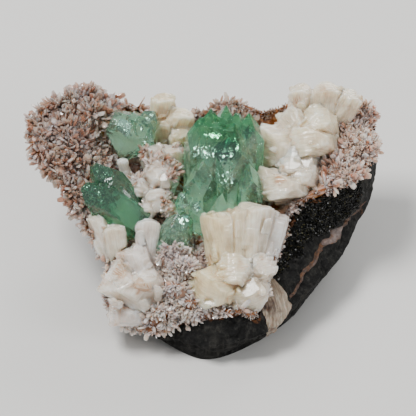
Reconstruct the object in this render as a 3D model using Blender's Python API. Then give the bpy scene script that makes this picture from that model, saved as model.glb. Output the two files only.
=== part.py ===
"""Apophyllite specimen: green apophyllite crystals and cream stilbite sheaves on a drusy crust over basalt.

Blender 4.5, metres, +Z up. The origin is the middle of the flat base. Angles are in degrees, counted from +X
towards +Y round the origin. Lengths in the tables are millimetres.
"""

import math
import random

import bmesh
import bpy
import numpy as np
from mathutils import Matrix, Vector, noise

MM = 0.001
GAP = 0.3  # clearance between touching pieces

# ---- the rock ------------------------------------------------------------------------------------------------
RAYS = 42  # directions round the origin that the rock and its crust are lofted on

# Edge of the drusy crust: angle, radius, height.
MARGIN = [
    (5, 41, 38.5), (11, 49, 38), (16, 53.3, 38), (21.5, 57.4, 38), (27, 61.2, 38), (32, 64, 40), (36.5, 65.4, 42),
    (39.5, 64.7, 43.5), (42, 60.7, 45), (48.5, 54.3, 45), (54.5, 49.9, 44), (58, 46.8, 43), (61.5, 42.3, 42),
    (66, 38.6, 42), (72.5, 38, 45), (78, 37.5, 47), (86, 35.8, 47), (93, 35.3, 45), (100, 34.3, 43),
    (112, 36.5, 42), (123.5, 42.8, 43), (131.5, 47.7, 45), (137, 52.5, 48), (140, 58.5, 51), (144, 61.8, 51),
    (148, 64, 50), (151, 68, 48), (153.5, 69.4, 47), (157, 69.8, 46), (161.5, 68, 45), (165, 65.8, 44),
    (168, 62.4, 42.5), (171, 58.5, 40.5), (175, 52.4, 37.5), (180, 48.8, 34), (185, 46, 31.5), (190, 45, 30),
    (195, 43.5, 26.5), (200, 42, 23.5), (205, 42, 21), (211, 44.3, 16), (217, 47.2, 13), (224, 47, 11),
    (229, 46.5, 10), (234, 45.2, 9), (239, 43.6, 10), (244, 41, 11), (249, 38.3, 13), (255, 36.6, 15),
    (264, 36.9, 16), (272, 36.8, 18), (280, 37.4, 19.5), (285, 39, 18.5), (289, 39.3, 16.5), (294, 36, 18.5),
    (299, 33, 21.5), (305, 28.8, 24.5), (317, 27.7, 27), (329, 26.1, 29), (350, 24.1, 32), (358, 26.1, 34.5),
]

# How far the basalt's upper edge lies inside the crust's edge: angle, inset.
SHOULDER_INSET = [(8, -0.8), (30, -1), (40, 2.5), (60, 3), (180, 3), (225, 3), (240, 0.5), (248, -0.7), (300, -1),
                  (345, -1.2), (352, -3), (358, -5), (3, -2)]
SHOULDER_DROP = 2.5  # and how far below it

# Widest part of the rock's side: angle, radius, height.
BELLY = [
    (0, 46, 15), (15, 55, 22), (25, 61, 25), (33, 65.5, 27), (45, 58, 25), (60, 45, 24), (90, 37, 24),
    (120, 41, 24), (140, 53, 28), (150, 60, 30), (160, 58, 28), (170, 50, 25), (180, 42, 20), (195, 37.5, 15),
    (210, 39, 9), (225, 40.5, 6.5), (240, 42, 6), (255, 42, 7.5), (262, 43.5, 7), (281, 43.5, 10), (300, 41, 12),
    (320, 38, 15), (340, 40.5, 16),
]

# Flat base: angle, radius.
FOOT = [
    (2, 38), (15, 43), (31, 45), (49, 41), (82, 30), (121, 32), (150, 37), (165, 34), (180, 29), (200, 27),
    (215, 31), (227, 37), (239, 38), (251, 40), (262, 42.5), (270, 41.5), (281, 38.5), (294, 35.7), (308, 34.3),
    (325, 33.6), (337, 33.6), (350, 34.6),
]

FLOOR_HEIGHT = 26.0  # crust over the middle of the rock
CRUST_THICKNESS = 3.5  # near its edge
CRUST_DEPTH = 12.0  # in the middle, where the crystals are rooted
BOWL_POWER = 1.7  # how late the crust climbs towards its edge
# Knobs and hollows of the crust: x, y, height, radius.
KNOBS = [
    (-52, 24, 5.0, 13), (-41, 29, 5.0, 9), (-31, 14, -5.0, 9), (4, 33, 3.0, 9), (17, 25, -5.0, 7), (45, 26, 5.5, 14),
    (37, 12, 3.5, 9), (-40, 2, 1.5, 8), (-14, -27, 1.0, 9), (-5, 12, -3.0, 10),
]

# ---- crystals: every row is root and tip (x, y, z), then sizes --------------------------------------------------
# Apophyllite: a square prism, its corners cut by a steep pyramid, its top by a small flat face.
PYRAMID_DIP = 60.4  # between a pyramid face and the flat top face
# root, tip, half width across the faces, how far the tip is above the flat top, turn about the axis
APOPHYLLITE = {
    "apophyllite_main": [
        ((0.0, 5.0, 22), (1.3, 18.9, 65.0), 8.8, 9.0, 22),
        ((3.0, 0.0, 23), (4.5, 10.5, 60.0), 6.4, 1.5, 38),
        ((-6.0, 3.0, 23), (-5.6, 17.0, 59.0), 4.9, 1.0, 12),
        ((9.4, 4.5, 24), (10.7, 18.0, 59.5), 4.0, 0.6, 30),
        ((-5.5, -3.0, 25), (-5.0, 3.8, 51.0), 4.6, 0.8, 45),
        ((9.0, -2.0, 26), (10.6, 4.2, 49.0), 4.2, 0.6, 20),
        ((2.4, -4.5, 26), (2.8, -1.2, 42.5), 4.6, 1.0, 40),
        ((-3.6, 11.0, 40), (-2.2, 19.5, 60.0), 2.9, 0.2, 15),
        ((1.6, 12.0, 40), (3.0, 20.2, 60.8), 3.4, 0.2, 40),
        ((5.4, 11.0, 40), (6.7, 19.0, 59.4), 2.9, 1.2, 25),
        ((-8.5, -5.0, 28), (-12.8, -2.4, 42.0), 3.2, 1.0, 30),
        ((-4.5, -7.0, 28), (-8.6, -4.2, 39.5), 2.8, 0.8, 5),
    ],
    "apophyllite_front": [
        ((-18.5, -15.0, 25), (-8.6, -7.2, 37.0), 4.4, 2.2, 40),
        ((-19.0, -15.0, 25), (-13.5, -8.0, 37.0), 3.2, 0.6, 15),
    ],
    "apophyllite_left": [
        ((-27.0, -7.5, 29), (-47.6, -0.6, 44.0), 4.7, 2.2, 20),
        ((-29.0, -1.0, 30), (-43.8, 6.6, 47.6), 4.4, 2.2, 35),
        ((-29.0, -4.5, 30), (-42.5, 3.0, 44.0), 3.8, 1.0, 5),
    ],
    "apophyllite_upper_left": [
        ((-29.5, 25.0, 39), (-35.0, 19.0, 58.0), 6.2, 4.2, 30),
        ((-27.0, 25.0, 40), (-29.0, 20.5, 56.5), 5.0, 2.2, 12),
        ((-26.5, 26.0, 41), (-21.8, 23.5, 55.0), 3.2, 1.0, 40),
    ],
}

# Stilbite: blades that widen from the root to a round crown, in sheaves.
# root, tip, width, thickness, flare to each side in degrees, turn of the flat side about the growth axis
STILBITE = {
    "stilbite_back_left": [
        ((-20, 29, 36), (-18.8, 32, 53.5), 8.8, 5, 8, 6),
        ((-15.5, 27, 34), (-11.8, 28.3, 49.5), 9.2, 5, 10, -8),
        ((-19, 26, 33), (-19.5, 27, 47), 9.8, 5, 10, 4),
        ((-14, 25, 34), (-12, 24, 45), 8.5, 5, 10, 14),
    ],
    "stilbite_middle": [
        ((-20, 11, 28), (-23, 18.5, 43), 8.5, 6, 10, -6),
        ((-18, 10, 28), (-15.3, 17.5, 43), 9, 6, 10, 10),
        ((-21, 9.5, 28), (-29.5, 4, 37.5), 9.5, 6.5, 12, -20),
        ((-20, 10, 28), (-20.5, -2, 36.5), 9, 7, 10, 10),
        ((-22, 6, 28), (-25, -5.5, 33.5), 5.8, 5, 8, 0),
        ((-18, 5, 28), (-16, -4.5, 34), 5.2, 4.5, 8, 20),
        ((-19.5, 11, 28), (-19.2, 7, 43.5), 12, 8, 12, -4),
    ],
    "stilbite_small_blade": [
        ((-30, 12.0, 30), (-33.2, 14.5, 40.3), 3.8, 2.2, 4, 20),
    ],
    "stilbite_right_back": [
        ((31, 30, 37), (28.4, 36.8, 53.5), 8.6, 7, 6, 6),
        ((36, 30, 37), (38.4, 36, 54.8), 11, 7.5, 8, -8),
        ((41, 30, 39), (47, 34, 53), 8.5, 6.5, 8, -20),
        ((30, 25, 38), (15.2, 17.8, 43), 17, 12, 8, -22),
        ((38, 23, 38), (28, 14.5, 48.5), 15, 8.5, 16, 10),
        ((33, 29, 38), (23.4, 28, 48), 12, 8.5, 8, -30),
        ((37, 27, 38), (33.5, 25, 50.5), 13, 9, 10, 20),
    ],
    "stilbite_right_middle": [
        ((28, 10, 30), (12.8, 6.4, 38), 13.5, 10, 8, -14),
        ((30, 7, 32), (18.8, -1, 42), 13, 7, 14, 8),
        ((34, 15, 33), (24, 10.5, 44.5), 12, 8, 14, 6),
        ((31, 10, 33), (27, 5.5, 43), 11, 8.5, 10, 24),
    ],
    "stilbite_front": [
        ((10.5, -25, 18), (13.3, -8, 40.5), 11.5, 10, 6, 10),
        ((7.6, -24.4, 18.6), (8, -9, 39.5), 8, 9.5, 5, 3),
        ((15.2, -22, 21), (20.3, -7.5, 36), 8, 7.6, 5, 29),
        ((3, -24, 20), (-0.3, -9.5, 38.5), 12.5, 10, 6, -8),
        ((8, -22, 19.5), (-5.5, -33.3, 25), 15.5, 11, 14, -30),
        ((9.4, -21.4, 20.6), (11, -35.8, 21.8), 14, 9.5, 14, 18),
        ((6.6, -24.6, 21), (5, -28.5, 31.5), 12, 9.5, 12, 5),
        ((12.8, -23.6, 19.4), (16.2, -25.4, 30), 9, 7.5, 10, 16),
    ],
    "stilbite_left_front": [
        ((-22, -29, 12), (-37.2, -25.5, 24.2), 19, 9.5, 22, -8),
        ((-23, -28, 14), (-30, -17.5, 29.5), 12.5, 8.5, 12, 10),
        ((-22, -30, 12), (-26.5, -28, 27), 13.5, 8.5, 14, 30),
        ((-22, -31, 11), (-36.5, -33.5, 14.5), 12, 7.5, 16, -10),
        ((-25, -24, 17), (-23.6, -9.5, 35), 8.8, 7, 6, 8),
    ],
    "stilbite_left_edge": [
        ((-37, -15.5, 22), (-42, -7, 34.5), 7.5, 5.2, 8, -6),
        ((-33.5, -17.5, 23), (-35.5, -12, 34.5), 8, 4.8, 8, 10),
    ],
    "stilbite_druse_fans": [
        ((-16, -23, 18), (-16, -15.5, 29.5), 11.5, 6, 14, 0),
        ((-12, -30, 16), (-11.5, -21.5, 27), 9, 5.5, 12, 10),
        ((-14.5, -34, 13), (-15.3, -27, 23.5), 10, 5.5, 14, -8),
        ((-19, -37, 9), (-20, -34, 18), 8.5, 4.5, 14, 4),
        ((-9, -35, 12), (-8.5, -32, 20.5), 8.5, 4.5, 14, -6),
    ],
}
CROWN_FACES = (-62, -24, 24, 62)  # tilt of the faces that round off a blade's crown
PLAIN_CROWN_FACES = (-38, 38)
CROWN_RISE = 0.42  # height of the crown against the blade's width

# Druse: patches of the crust that are covered with small crystals: x, y, radius
DRUSE_PATCHES = [(-52, 20, 16), (-40, 34, 7), (-45, 3, 6), (48, 24, 14), (40, 8, 6), (4, 34, 8)]
DRUSE_HEIGHT = 3.2  # of the longest crystals
DRUSE_SEED = 11

# Fibrous wedge on the rock's front corner: height, angle, half width in degrees, bulge
WEDGE = [(21.8, 305, 3.6, 0.3), (19, 303.5, 7, 0.8), (15.5, 302, 8.5, 1.2), (10.5, 299.5, 6, 1.1), (6, 297.8, 3.4, 0.8),
         (2.5, 297, 1.2, 0.3)]
WEDGE_DEPTH = 4.0

# Vein across the rock's side: angle, height, radius of the vein
VEIN = [(12, 23.5, 0.6), (7, 22.4, 0.8), (3, 21.6, 1.0), (0, 20.8, 1.7), (357, 20.2, 2.2), (353.5, 20.2, 2.0),
        (350, 20.6, 1.2), (342, 20.5, 1.0), (333, 20.2, 1.1), (325, 19, 1.1), (318, 17, 1.0), (311.5, 15.8, 0.9)]
VEIN_PROUD = 0.45

MATERIALS = {
    "basalt": ((0.035, 0.033, 0.029), 0.85, 0.0),
    "druse": ((0.50, 0.38, 0.35), 0.45, 0.0),
    "stilbite": ((0.66, 0.60, 0.51), 0.35, 0.0),
    "apophyllite": ((0.22, 0.52, 0.34), 0.05, 0.0),
    "wedge": ((0.42, 0.36, 0.29), 0.5, 0.0),
    "vein": ((0.36, 0.27, 0.22), 0.6, 0.0),
}


def polar(table, angle, column=1):
    """Value of a table's column at an angle, straight between rows."""
    rows = sorted(table)
    return float(np.interp(angle % 360, [r[0] for r in rows], [r[column] for r in rows], period=360))


def margin_height(angle):
    return polar(MARGIN, angle, 2)


def shoulder(angle):
    """Radius and height of the basalt's upper edge."""
    return polar(MARGIN, angle) - polar(SHOULDER_INSET, angle), margin_height(angle) - SHOULDER_DROP


def wall_radius(angle, height):
    """Radius of the rock's side at a height: straight from the foot to the belly and on to the shoulder."""
    top_radius, top_height = shoulder(angle)
    belly_height = min(polar(BELLY, angle, 2), top_height - 2)
    return float(np.interp(height, [0, belly_height, top_height], [polar(FOOT, angle), polar(BELLY, angle), top_radius]))


def roughness(point, size, seed):
    """Smooth noise from -1 to 1 with features of a given size."""
    return noise.fractal(Vector(point) / size + Vector((seed, 0, 0)), 0.9, 2.0, 3)


def crust_height(x, y):
    """Height of the crust's surface: a bowl that rises to the edge, with knobs and hollows on it."""
    angle = math.degrees(math.atan2(y, x))
    share = min(math.hypot(x, y) / polar(MARGIN, angle), 1.0)
    height = FLOOR_HEIGHT + (margin_height(angle) + 0.5 - FLOOR_HEIGHT) * share**BOWL_POWER
    for kx, ky, rise, radius in KNOBS:
        height += rise * math.exp(-((x - kx) ** 2 + (y - ky) ** 2) / radius**2) * min(1.0, (1.02 - share) * 5)
    return height


# ---- meshes ------------------------------------------------------------------------------------------------------
def add_object(name, mesh, collection):
    obj = bpy.data.objects.new(name, mesh)
    collection.objects.link(obj)
    return obj


def mesh_object(name, bm, collection):
    """Object from a bmesh in millimetres, which is freed."""
    bmesh.ops.remove_doubles(bm, verts=bm.verts, dist=0.02)
    bmesh.ops.recalc_face_normals(bm, faces=bm.faces)
    bmesh.ops.scale(bm, vec=(MM, MM, MM), verts=bm.verts)
    mesh = bpy.data.meshes.new(name)
    bm.to_mesh(mesh)
    bm.free()
    return add_object(name, mesh, collection)


def loft(rings, first_pole, last_pole):
    """Closed bmesh through rings of equally many points, with a pole at each end."""
    bm = bmesh.new()
    rows = [[bm.verts.new(p) for p in ring] for ring in rings]
    count = len(rows[0])
    for lower, upper in zip(rows, rows[1:]):
        for i in range(count):
            j = (i + 1) % count
            bm.faces.new((lower[i], lower[j], upper[j], upper[i]))
    for pole, row in ((first_pole, rows[0]), (last_pole, rows[-1])):
        centre = bm.verts.new(pole)
        for i in range(count):
            bm.faces.new((row[i], row[(i + 1) % count], centre))
    return bm


def on_ray(angle, radius, height):
    return Vector((radius * math.cos(math.radians(angle)), radius * math.sin(math.radians(angle)), height))


def ray_angles():
    return [360 * i / RAYS for i in range(RAYS)]


def basalt_bmesh():
    """Rock: flat base, rough side, and a hollowed top that the crust covers."""
    levels = (0.0, 0.3, 0.6, 0.85)
    rings = [[on_ray(a, polar(FOOT, a) * 0.5, 0) for a in ray_angles()]]
    for level in levels:
        ring = []
        for a in ray_angles():
            height = level * shoulder(a)[1]
            point = on_ray(a, wall_radius(a, height), height)
            if level > 0:
                point += on_ray(a, 1.0, 0) * 0.9 * roughness(point, 11, 3)
            ring.append(point)
        rings.append(ring)
    rings.append([on_ray(a, *shoulder(a)) for a in ray_angles()])
    for share, depth in ((0.88, CRUST_THICKNESS + 1), (0.6, CRUST_DEPTH), (0.25, CRUST_DEPTH)):
        ring = []
        for a in ray_angles():
            p = on_ray(a, shoulder(a)[0] * share, 0)
            p.z = min(crust_height(p.x, p.y) - depth, shoulder(a)[1] + 1)
            ring.append(p)
        rings.append(ring)
    return loft(rings, (0, 0, 0), (0, 0, FLOOR_HEIGHT - CRUST_DEPTH))


def crust_bmesh():
    """Crust before it is cut: the bowl's surface, an edge a few millimetres deep, and an underside in the rock."""
    rings = []
    for share, drop in ((0.5, 24), (0.85, 14), (0.96, 5), (1.0, 1.6)):
        ring = []
        for a in ray_angles():
            p = on_ray(a, polar(MARGIN, a) * share, 0)
            p.z = max((margin_height(a) if share > 0.6 else crust_height(p.x, p.y)) - drop, 3.0)
            ring.append(p + on_ray(a, 0.7 * roughness(p, 4, 5), 0))
        rings.append(ring)
    for share in (0.98, 0.92, 0.8, 0.66, 0.5, 0.3):
        ring = []
        for a in ray_angles():
            p = on_ray(a, polar(MARGIN, a) * share, 0)
            p.z = crust_height(p.x, p.y) + 1.0 * roughness(p, 6, 9)
            ring.append(p)
        rings.append(ring)
    bm = loft(rings, (0, 0, FLOOR_HEIGHT - 24), (0, 0, FLOOR_HEIGHT))
    bmesh.ops.recalc_face_normals(bm, faces=bm.faces)
    grow_druse(bm)
    return bm


def block(bm, width, depth, low, high):
    """Adds a box from z = low to z = high to a bmesh and returns its vertices."""
    size = Matrix.Diagonal((width, depth, high - low, 1))
    made = bmesh.ops.create_cube(bm, size=1.0, matrix=Matrix.Translation((0, 0, (low + high) / 2)) @ size)
    return made["verts"]


def cleave(bm, point, normal):
    """Cuts off what lies beyond a plane and closes the cut with a flat face."""
    everything = bm.verts[:] + bm.edges[:] + bm.faces[:]
    cut = bmesh.ops.bisect_plane(bm, geom=everything, plane_co=point, plane_no=normal, clear_outer=True)
    edges = [e for e in cut["geom_cut"] if isinstance(e, bmesh.types.BMEdge)]
    if edges:
        bmesh.ops.edgeloop_fill(bm, edges=edges)


def growth_frame(root, tip, turn):
    """Matrix with +Z from root to tip; turn spins it about that axis, and at 0 its +Y faces the sky and the back."""
    axis = (Vector(tip) - Vector(root)).normalized()
    back = Vector((0, 1, 1)) - Vector((0, 1, 1)).dot(axis) * axis
    if back.length < 0.2:
        back = Vector((0, 1, -1)) - Vector((0, 1, -1)).dot(axis) * axis
    back.normalize()
    side = back.cross(axis)
    frame = Matrix((side, back, axis)).transposed().to_4x4()
    return Matrix.Translation(root) @ frame @ Matrix.Rotation(math.radians(turn), 4, "Z")


def apophyllite_bmesh(root, tip, half_width, cut_back, turn, grow):
    """Square prism whose corners a steep pyramid cuts, with a small flat top face. grow moves every face out."""
    length = (Vector(tip) - Vector(root)).length
    bm = bmesh.new()
    block(bm, 2 * (half_width + grow), 2 * (half_width + grow), -grow, length + 2 * grow)
    dip = math.radians(PYRAMID_DIP)
    for corner in (45, 135, 225, 315):
        a = math.radians(corner)
        normal = Vector((math.cos(a) * math.sin(dip), math.sin(a) * math.sin(dip), math.cos(dip)))
        cleave(bm, Vector((0, 0, length)) + normal * grow, normal)
    cleave(bm, (0, 0, length - cut_back + grow), (0, 0, 1))
    bm.transform(growth_frame(root, tip, turn))
    return bm


def stilbite_bmesh(root, tip, width, thickness, flare, turn, grow=0.0):
    """One blade: flat in front and behind, widening outwards, with chamfered sides and a round crown. With grow it
    is the room for that blade: plainer, and that much bigger."""
    length = (Vector(tip) - Vector(root)).length
    half, depth = width / 2, thickness / 2
    widest = Vector((0, 0, length - CROWN_RISE * width))  # where the crown begins
    bm = bmesh.new()
    block(bm, 3 * width, 3 * thickness, -grow, length + 2 * grow)
    lean = math.radians(flare)
    normals = []  # of each face, with its distance from the point on the axis where the blade is widest
    for side in (-1, 1):
        normals.append((Vector((side * math.cos(lean), 0, -math.sin(lean))), half))
        normals.append((Vector((0, side * math.cos(lean / 2), -math.sin(lean / 2))), depth))
        for back in (-1, 1) if not grow else ():
            chamfer = Vector((side * 0.65 * depth, back * 0.5 * half, 0)).normalized()
            normals.append((chamfer, abs(chamfer.x) * half * 0.5 + abs(chamfer.y) * depth))
    for tilt in CROWN_FACES if not grow else PLAIN_CROWN_FACES:
        a = math.radians(tilt)
        reach = math.hypot(half * math.sin(a), CROWN_RISE * width * math.cos(a)) * (1.07 if grow else 1)
        normals.append((Vector((math.sin(a), 0, math.cos(a))), reach))
    for normal, distance in normals:
        cleave(bm, widest + normal * (distance + grow), normal)
    bm.transform(growth_frame(root, tip, turn))
    return bm


def in_druse(face):
    centre = face.calc_center_median()
    near = any(math.hypot(centre.x - x, centre.y - y) < radius for x, y, radius in DRUSE_PATCHES)
    return near and face.normal.z > 0.25


def grow_druse(bm):
    """Covers the druse patches with small crystals: each cell of the crust is drawn out along a tilted axis, and
    its end is pinched to a ridge."""
    dice = random.Random(DRUSE_SEED)
    bm.normal_update()
    edges = {e for f in bm.faces if in_druse(f) for e in f.edges}
    bmesh.ops.subdivide_edges(bm, edges=sorted(edges, key=lambda e: e.index), cuts=1, use_grid_fill=True)
    bm.normal_update()
    cells = [f for f in bm.faces if len(f.verts) == 4 and in_druse(f)]
    for vert in sorted({v for f in cells for v in f.verts}, key=lambda v: v.index):
        vert.co += Vector((dice.uniform(-0.5, 0.5), dice.uniform(-0.5, 0.5), dice.uniform(-0.3, 0.3)))
    grown = bmesh.ops.extrude_discrete_faces(bm, faces=cells)["faces"]
    for face in grown:
        corners = list(face.verts)
        if dice.random() < 0.5:
            corners = corners[1:] + corners[:1]
        centre = face.calc_center_median()
        tilt = Vector([dice.uniform(-0.3, 0.3) for _ in range(3)])
        top = centre + (face.normal + tilt).normalized() * DRUSE_HEIGHT * dice.uniform(0.25, 1.0)
        for first, second in (corners[:2], corners[2:]):
            end = top + ((first.co + second.co) / 2 - centre) * 0.7
            first.co = second.co = end
    bmesh.ops.remove_doubles(bm, verts=[v for f in grown for v in f.verts], dist=0.001)


def wedge_bmesh(grow):
    """Patch of fibres on the rock's corner: its outside bulges a little, its inside lies in the rock."""
    columns = 5
    outer, inner = [], []
    for height, angle, half, bulge in WEDGE:
        for surface, depth in ((outer, -1), (inner, 1)):
            row = []
            for i in range(columns):
                place = 2 * i / (columns - 1) - 1
                a = angle + place * (half + math.degrees(grow / 38))
                out = bulge * (1 - place**2) + 0.25 + grow if depth < 0 else -WEDGE_DEPTH - grow
                row.append(on_ray(a, wall_radius(a, height) + out, height))
            surface.append(row)
    outer[0] = [p + Vector((0, 0, grow)) for p in outer[0]]
    inner[0] = [p + Vector((0, 0, grow)) for p in inner[0]]
    outer[-1] = [p - Vector((0, 0, grow)) for p in outer[-1]]
    inner[-1] = [p - Vector((0, 0, grow)) for p in inner[-1]]
    rings = [o + n[::-1] for o, n in zip(outer, inner)]
    return loft(rings, sum(rings[0], Vector()) / len(rings[0]), sum(rings[-1], Vector()) / len(rings[-1]))


def vein_curve(name, grow, collection):
    """Tube along the rock's side, sunk so that it stands a little proud."""
    data = bpy.data.curves.new(name, "CURVE")
    data.dimensions = "3D"
    data.bevel_depth = MM
    data.bevel_resolution = 1
    data.use_fill_caps = True
    spline = data.splines.new("POLY")
    spline.points.add(len(VEIN) - 1)
    for point, (angle, height, radius) in zip(spline.points, VEIN):
        place = on_ray(angle, wall_radius(angle, height) + VEIN_PROUD - radius, height) * MM
        point.co = (*place, 1.0)
        point.radius = radius + grow
    return add_object(name, data, collection)


# ---- joining and cutting -------------------------------------------------------------------------------------
def keep_largest(bm):
    """Deletes loose chips that the cuts leave, so that one body stays."""
    unseen, islands = set(bm.faces), []
    while unseen:
        island, edge_of = set(), [unseen.pop()]
        while edge_of:
            face = edge_of.pop()
            island.add(face)
            near = {f for e in face.edges for f in e.link_faces} & unseen
            unseen -= near
            edge_of.extend(near)
        islands.append(island)
    islands.sort(key=lambda faces: sum(f.calc_area() for f in faces))
    chips = [f for faces in islands[:-1] for f in faces]
    bmesh.ops.delete(bm, geom=chips, context="FACES")


def split_to_triangles(obj):
    bm = bmesh.new()
    bm.from_mesh(obj.data)
    bmesh.ops.triangulate(bm, faces=bm.faces, quad_method="FIXED")
    bm.to_mesh(obj.data)
    bm.free()


def combine(obj, operation, other):
    """Applies one Boolean to an object. Where dozens of blades cross, EXACT leaves open seams, so the solver is
    MANIFOLD, which needs closed meshes, and triangles in the second one, and leaves a closed mesh."""
    split_to_triangles(other)
    modifier = obj.modifiers.new(operation.lower(), "BOOLEAN")
    modifier.operation = operation
    modifier.solver = "MANIFOLD"
    modifier.object = other
    bpy.context.view_layer.update()
    mesh = bpy.data.meshes.new_from_object(obj.evaluated_get(bpy.context.evaluated_depsgraph_get()))
    obj.modifiers.clear()
    bm = bmesh.new()
    bm.from_mesh(mesh)
    bpy.data.meshes.remove(mesh)
    if operation == "DIFFERENCE":
        keep_largest(bm)
    bm.to_mesh(obj.data)
    bm.free()


def settle(obj, room, taken):
    """Cuts from an object the room that earlier ones take up, adds its own room to theirs and returns the sum."""
    if taken is None:
        return room
    combine(obj, "DIFFERENCE", taken)
    combine(taken, "UNION", room)
    return taken


def discard(obj):
    bpy.data.meshes.remove(obj.data)


def joined(name, bmeshes, collection):
    """One object from closed bmeshes that overlap."""
    whole = mesh_object(name, bmeshes[0], collection)
    for bm in bmeshes[1:]:
        piece = mesh_object("piece", bm, collection)
        combine(whole, "UNION", piece)
        discard(piece)
    return whole


def swollen(obj, collection):
    """Copy of an object with every face moved out by the gap, as a cutter."""
    copy = add_object(obj.name + "_room", obj.data.copy(), collection)
    bm = bmesh.new()
    bm.from_mesh(copy.data)
    bm.normal_update()
    moves = [v.normal * GAP * MM * min(v.calc_shell_factor(), 2.0) for v in bm.verts]
    for vert, move in zip(bm.verts, moves):
        vert.co += move
    bm.to_mesh(copy.data)
    bm.free()
    return copy


def as_mesh(curve, collection):
    """Mesh object from a curve object, which is removed."""
    bpy.context.view_layer.update()
    graph = bpy.context.evaluated_depsgraph_get()
    mesh = bpy.data.meshes.new_from_object(curve.evaluated_get(graph))
    name = curve.name
    bpy.data.objects.remove(curve)
    bm = bmesh.new()
    bm.from_mesh(mesh)
    bmesh.ops.remove_doubles(bm, verts=bm.verts, dist=0.00001)
    bmesh.ops.recalc_face_normals(bm, faces=bm.faces)
    bm.to_mesh(mesh)
    bm.free()
    return add_object(name, mesh, collection)


def finish(obj, kind):
    """Gives an object its material."""
    material = bpy.data.materials.get(kind)
    if material is None:
        colour, rough, metallic = MATERIALS[kind]
        material = bpy.data.materials.new(kind)
        material.use_nodes = True
        surface = material.node_tree.nodes["Principled BSDF"]
        surface.inputs["Base Color"].default_value = (*colour, 1.0)
        surface.inputs["Roughness"].default_value = rough
        surface.inputs["Metallic"].default_value = metallic
    obj.data.materials.clear()
    obj.data.materials.append(material)


def main():
    for obj in list(bpy.data.objects):
        bpy.data.objects.remove(obj)
    specimen = bpy.data.collections.new("apophyllite_specimen")
    cutters = bpy.data.collections.new("cutters")
    for collection in (specimen, cutters):
        bpy.context.scene.collection.children.link(collection)
    taken = None
    for name, crystals in APOPHYLLITE.items():
        cluster = joined(name, [apophyllite_bmesh(*row, 0) for row in crystals], specimen)
        room = joined(name + "_room", [apophyllite_bmesh(*row, GAP) for row in crystals], cutters)
        taken = settle(cluster, room, taken)
        finish(cluster, "apophyllite")
    for name, blades in STILBITE.items():
        group = joined(name, [stilbite_bmesh(*row) for row in blades], specimen)
        room = joined(name + "_room", [stilbite_bmesh(*row, GAP) for row in blades], cutters)
        taken = settle(group, room, taken)
        finish(group, "stilbite")

    wedge = mesh_object("fibrous_wedge", wedge_bmesh(0), specimen)
    settle(wedge, mesh_object("fibrous_wedge_room", wedge_bmesh(GAP), cutters), taken)
    finish(wedge, "wedge")

    vein = as_mesh(vein_curve("vein", 0, specimen), specimen)
    settle(vein, as_mesh(vein_curve("vein_room", GAP, cutters), cutters), taken)
    finish(vein, "vein")

    basalt = mesh_object("basalt", basalt_bmesh(), specimen)
    crust = mesh_object("druse_crust", crust_bmesh(), specimen)
    split_to_triangles(basalt)
    split_to_triangles(crust)
    combine(crust, "DIFFERENCE", swollen(basalt, cutters))
    combine(crust, "DIFFERENCE", basalt)
    combine(crust, "DIFFERENCE", taken)
    combine(basalt, "DIFFERENCE", taken)
    finish(crust, "druse")
    finish(basalt, "basalt")

    for obj in cutters.objects:
        obj.hide_render = True
        obj.display_type = "WIRE"


main()
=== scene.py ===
"""Apophyllite specimen: the looks of the crystals, the crust and the rock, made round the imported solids.

The tables are in millimetres and degrees and repeat those of the solids; angles count from +X towards +Y.
"""

import functools
import itertools
import math

import bmesh
import bpy
import numpy as np
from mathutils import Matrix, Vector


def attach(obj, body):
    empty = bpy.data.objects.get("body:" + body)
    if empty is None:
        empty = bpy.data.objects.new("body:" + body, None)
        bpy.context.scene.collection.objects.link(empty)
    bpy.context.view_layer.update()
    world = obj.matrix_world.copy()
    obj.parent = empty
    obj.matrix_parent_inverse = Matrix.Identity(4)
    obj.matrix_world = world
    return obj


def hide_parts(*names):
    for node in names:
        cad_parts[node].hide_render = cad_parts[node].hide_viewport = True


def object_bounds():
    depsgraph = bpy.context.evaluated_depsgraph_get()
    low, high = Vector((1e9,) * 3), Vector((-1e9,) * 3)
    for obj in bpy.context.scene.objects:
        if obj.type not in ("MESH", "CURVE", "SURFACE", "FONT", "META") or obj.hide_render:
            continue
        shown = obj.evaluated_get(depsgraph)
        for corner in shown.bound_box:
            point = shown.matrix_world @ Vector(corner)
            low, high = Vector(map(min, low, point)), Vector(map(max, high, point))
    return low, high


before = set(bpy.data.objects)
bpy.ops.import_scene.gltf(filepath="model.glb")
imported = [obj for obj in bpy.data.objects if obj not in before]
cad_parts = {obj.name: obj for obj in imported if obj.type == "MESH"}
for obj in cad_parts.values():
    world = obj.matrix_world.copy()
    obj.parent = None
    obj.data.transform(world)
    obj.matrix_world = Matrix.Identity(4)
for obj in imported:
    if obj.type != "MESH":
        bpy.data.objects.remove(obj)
cad_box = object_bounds()

MM = 0.001
SEED = 7
BOX_LOW, BOX_HIGH = (np.array(corner) / MM for corner in cad_box)

# ---- camera ----
CAMERA_TARGET = (-0.0033, 0.0156, 0.0156)
CAMERA_DISTANCE = 1.2
CAMERA_ELEVATION = 45
VIEW_WIDTH = 0.1456  # of the frame at the target
SENSOR = 36

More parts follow.
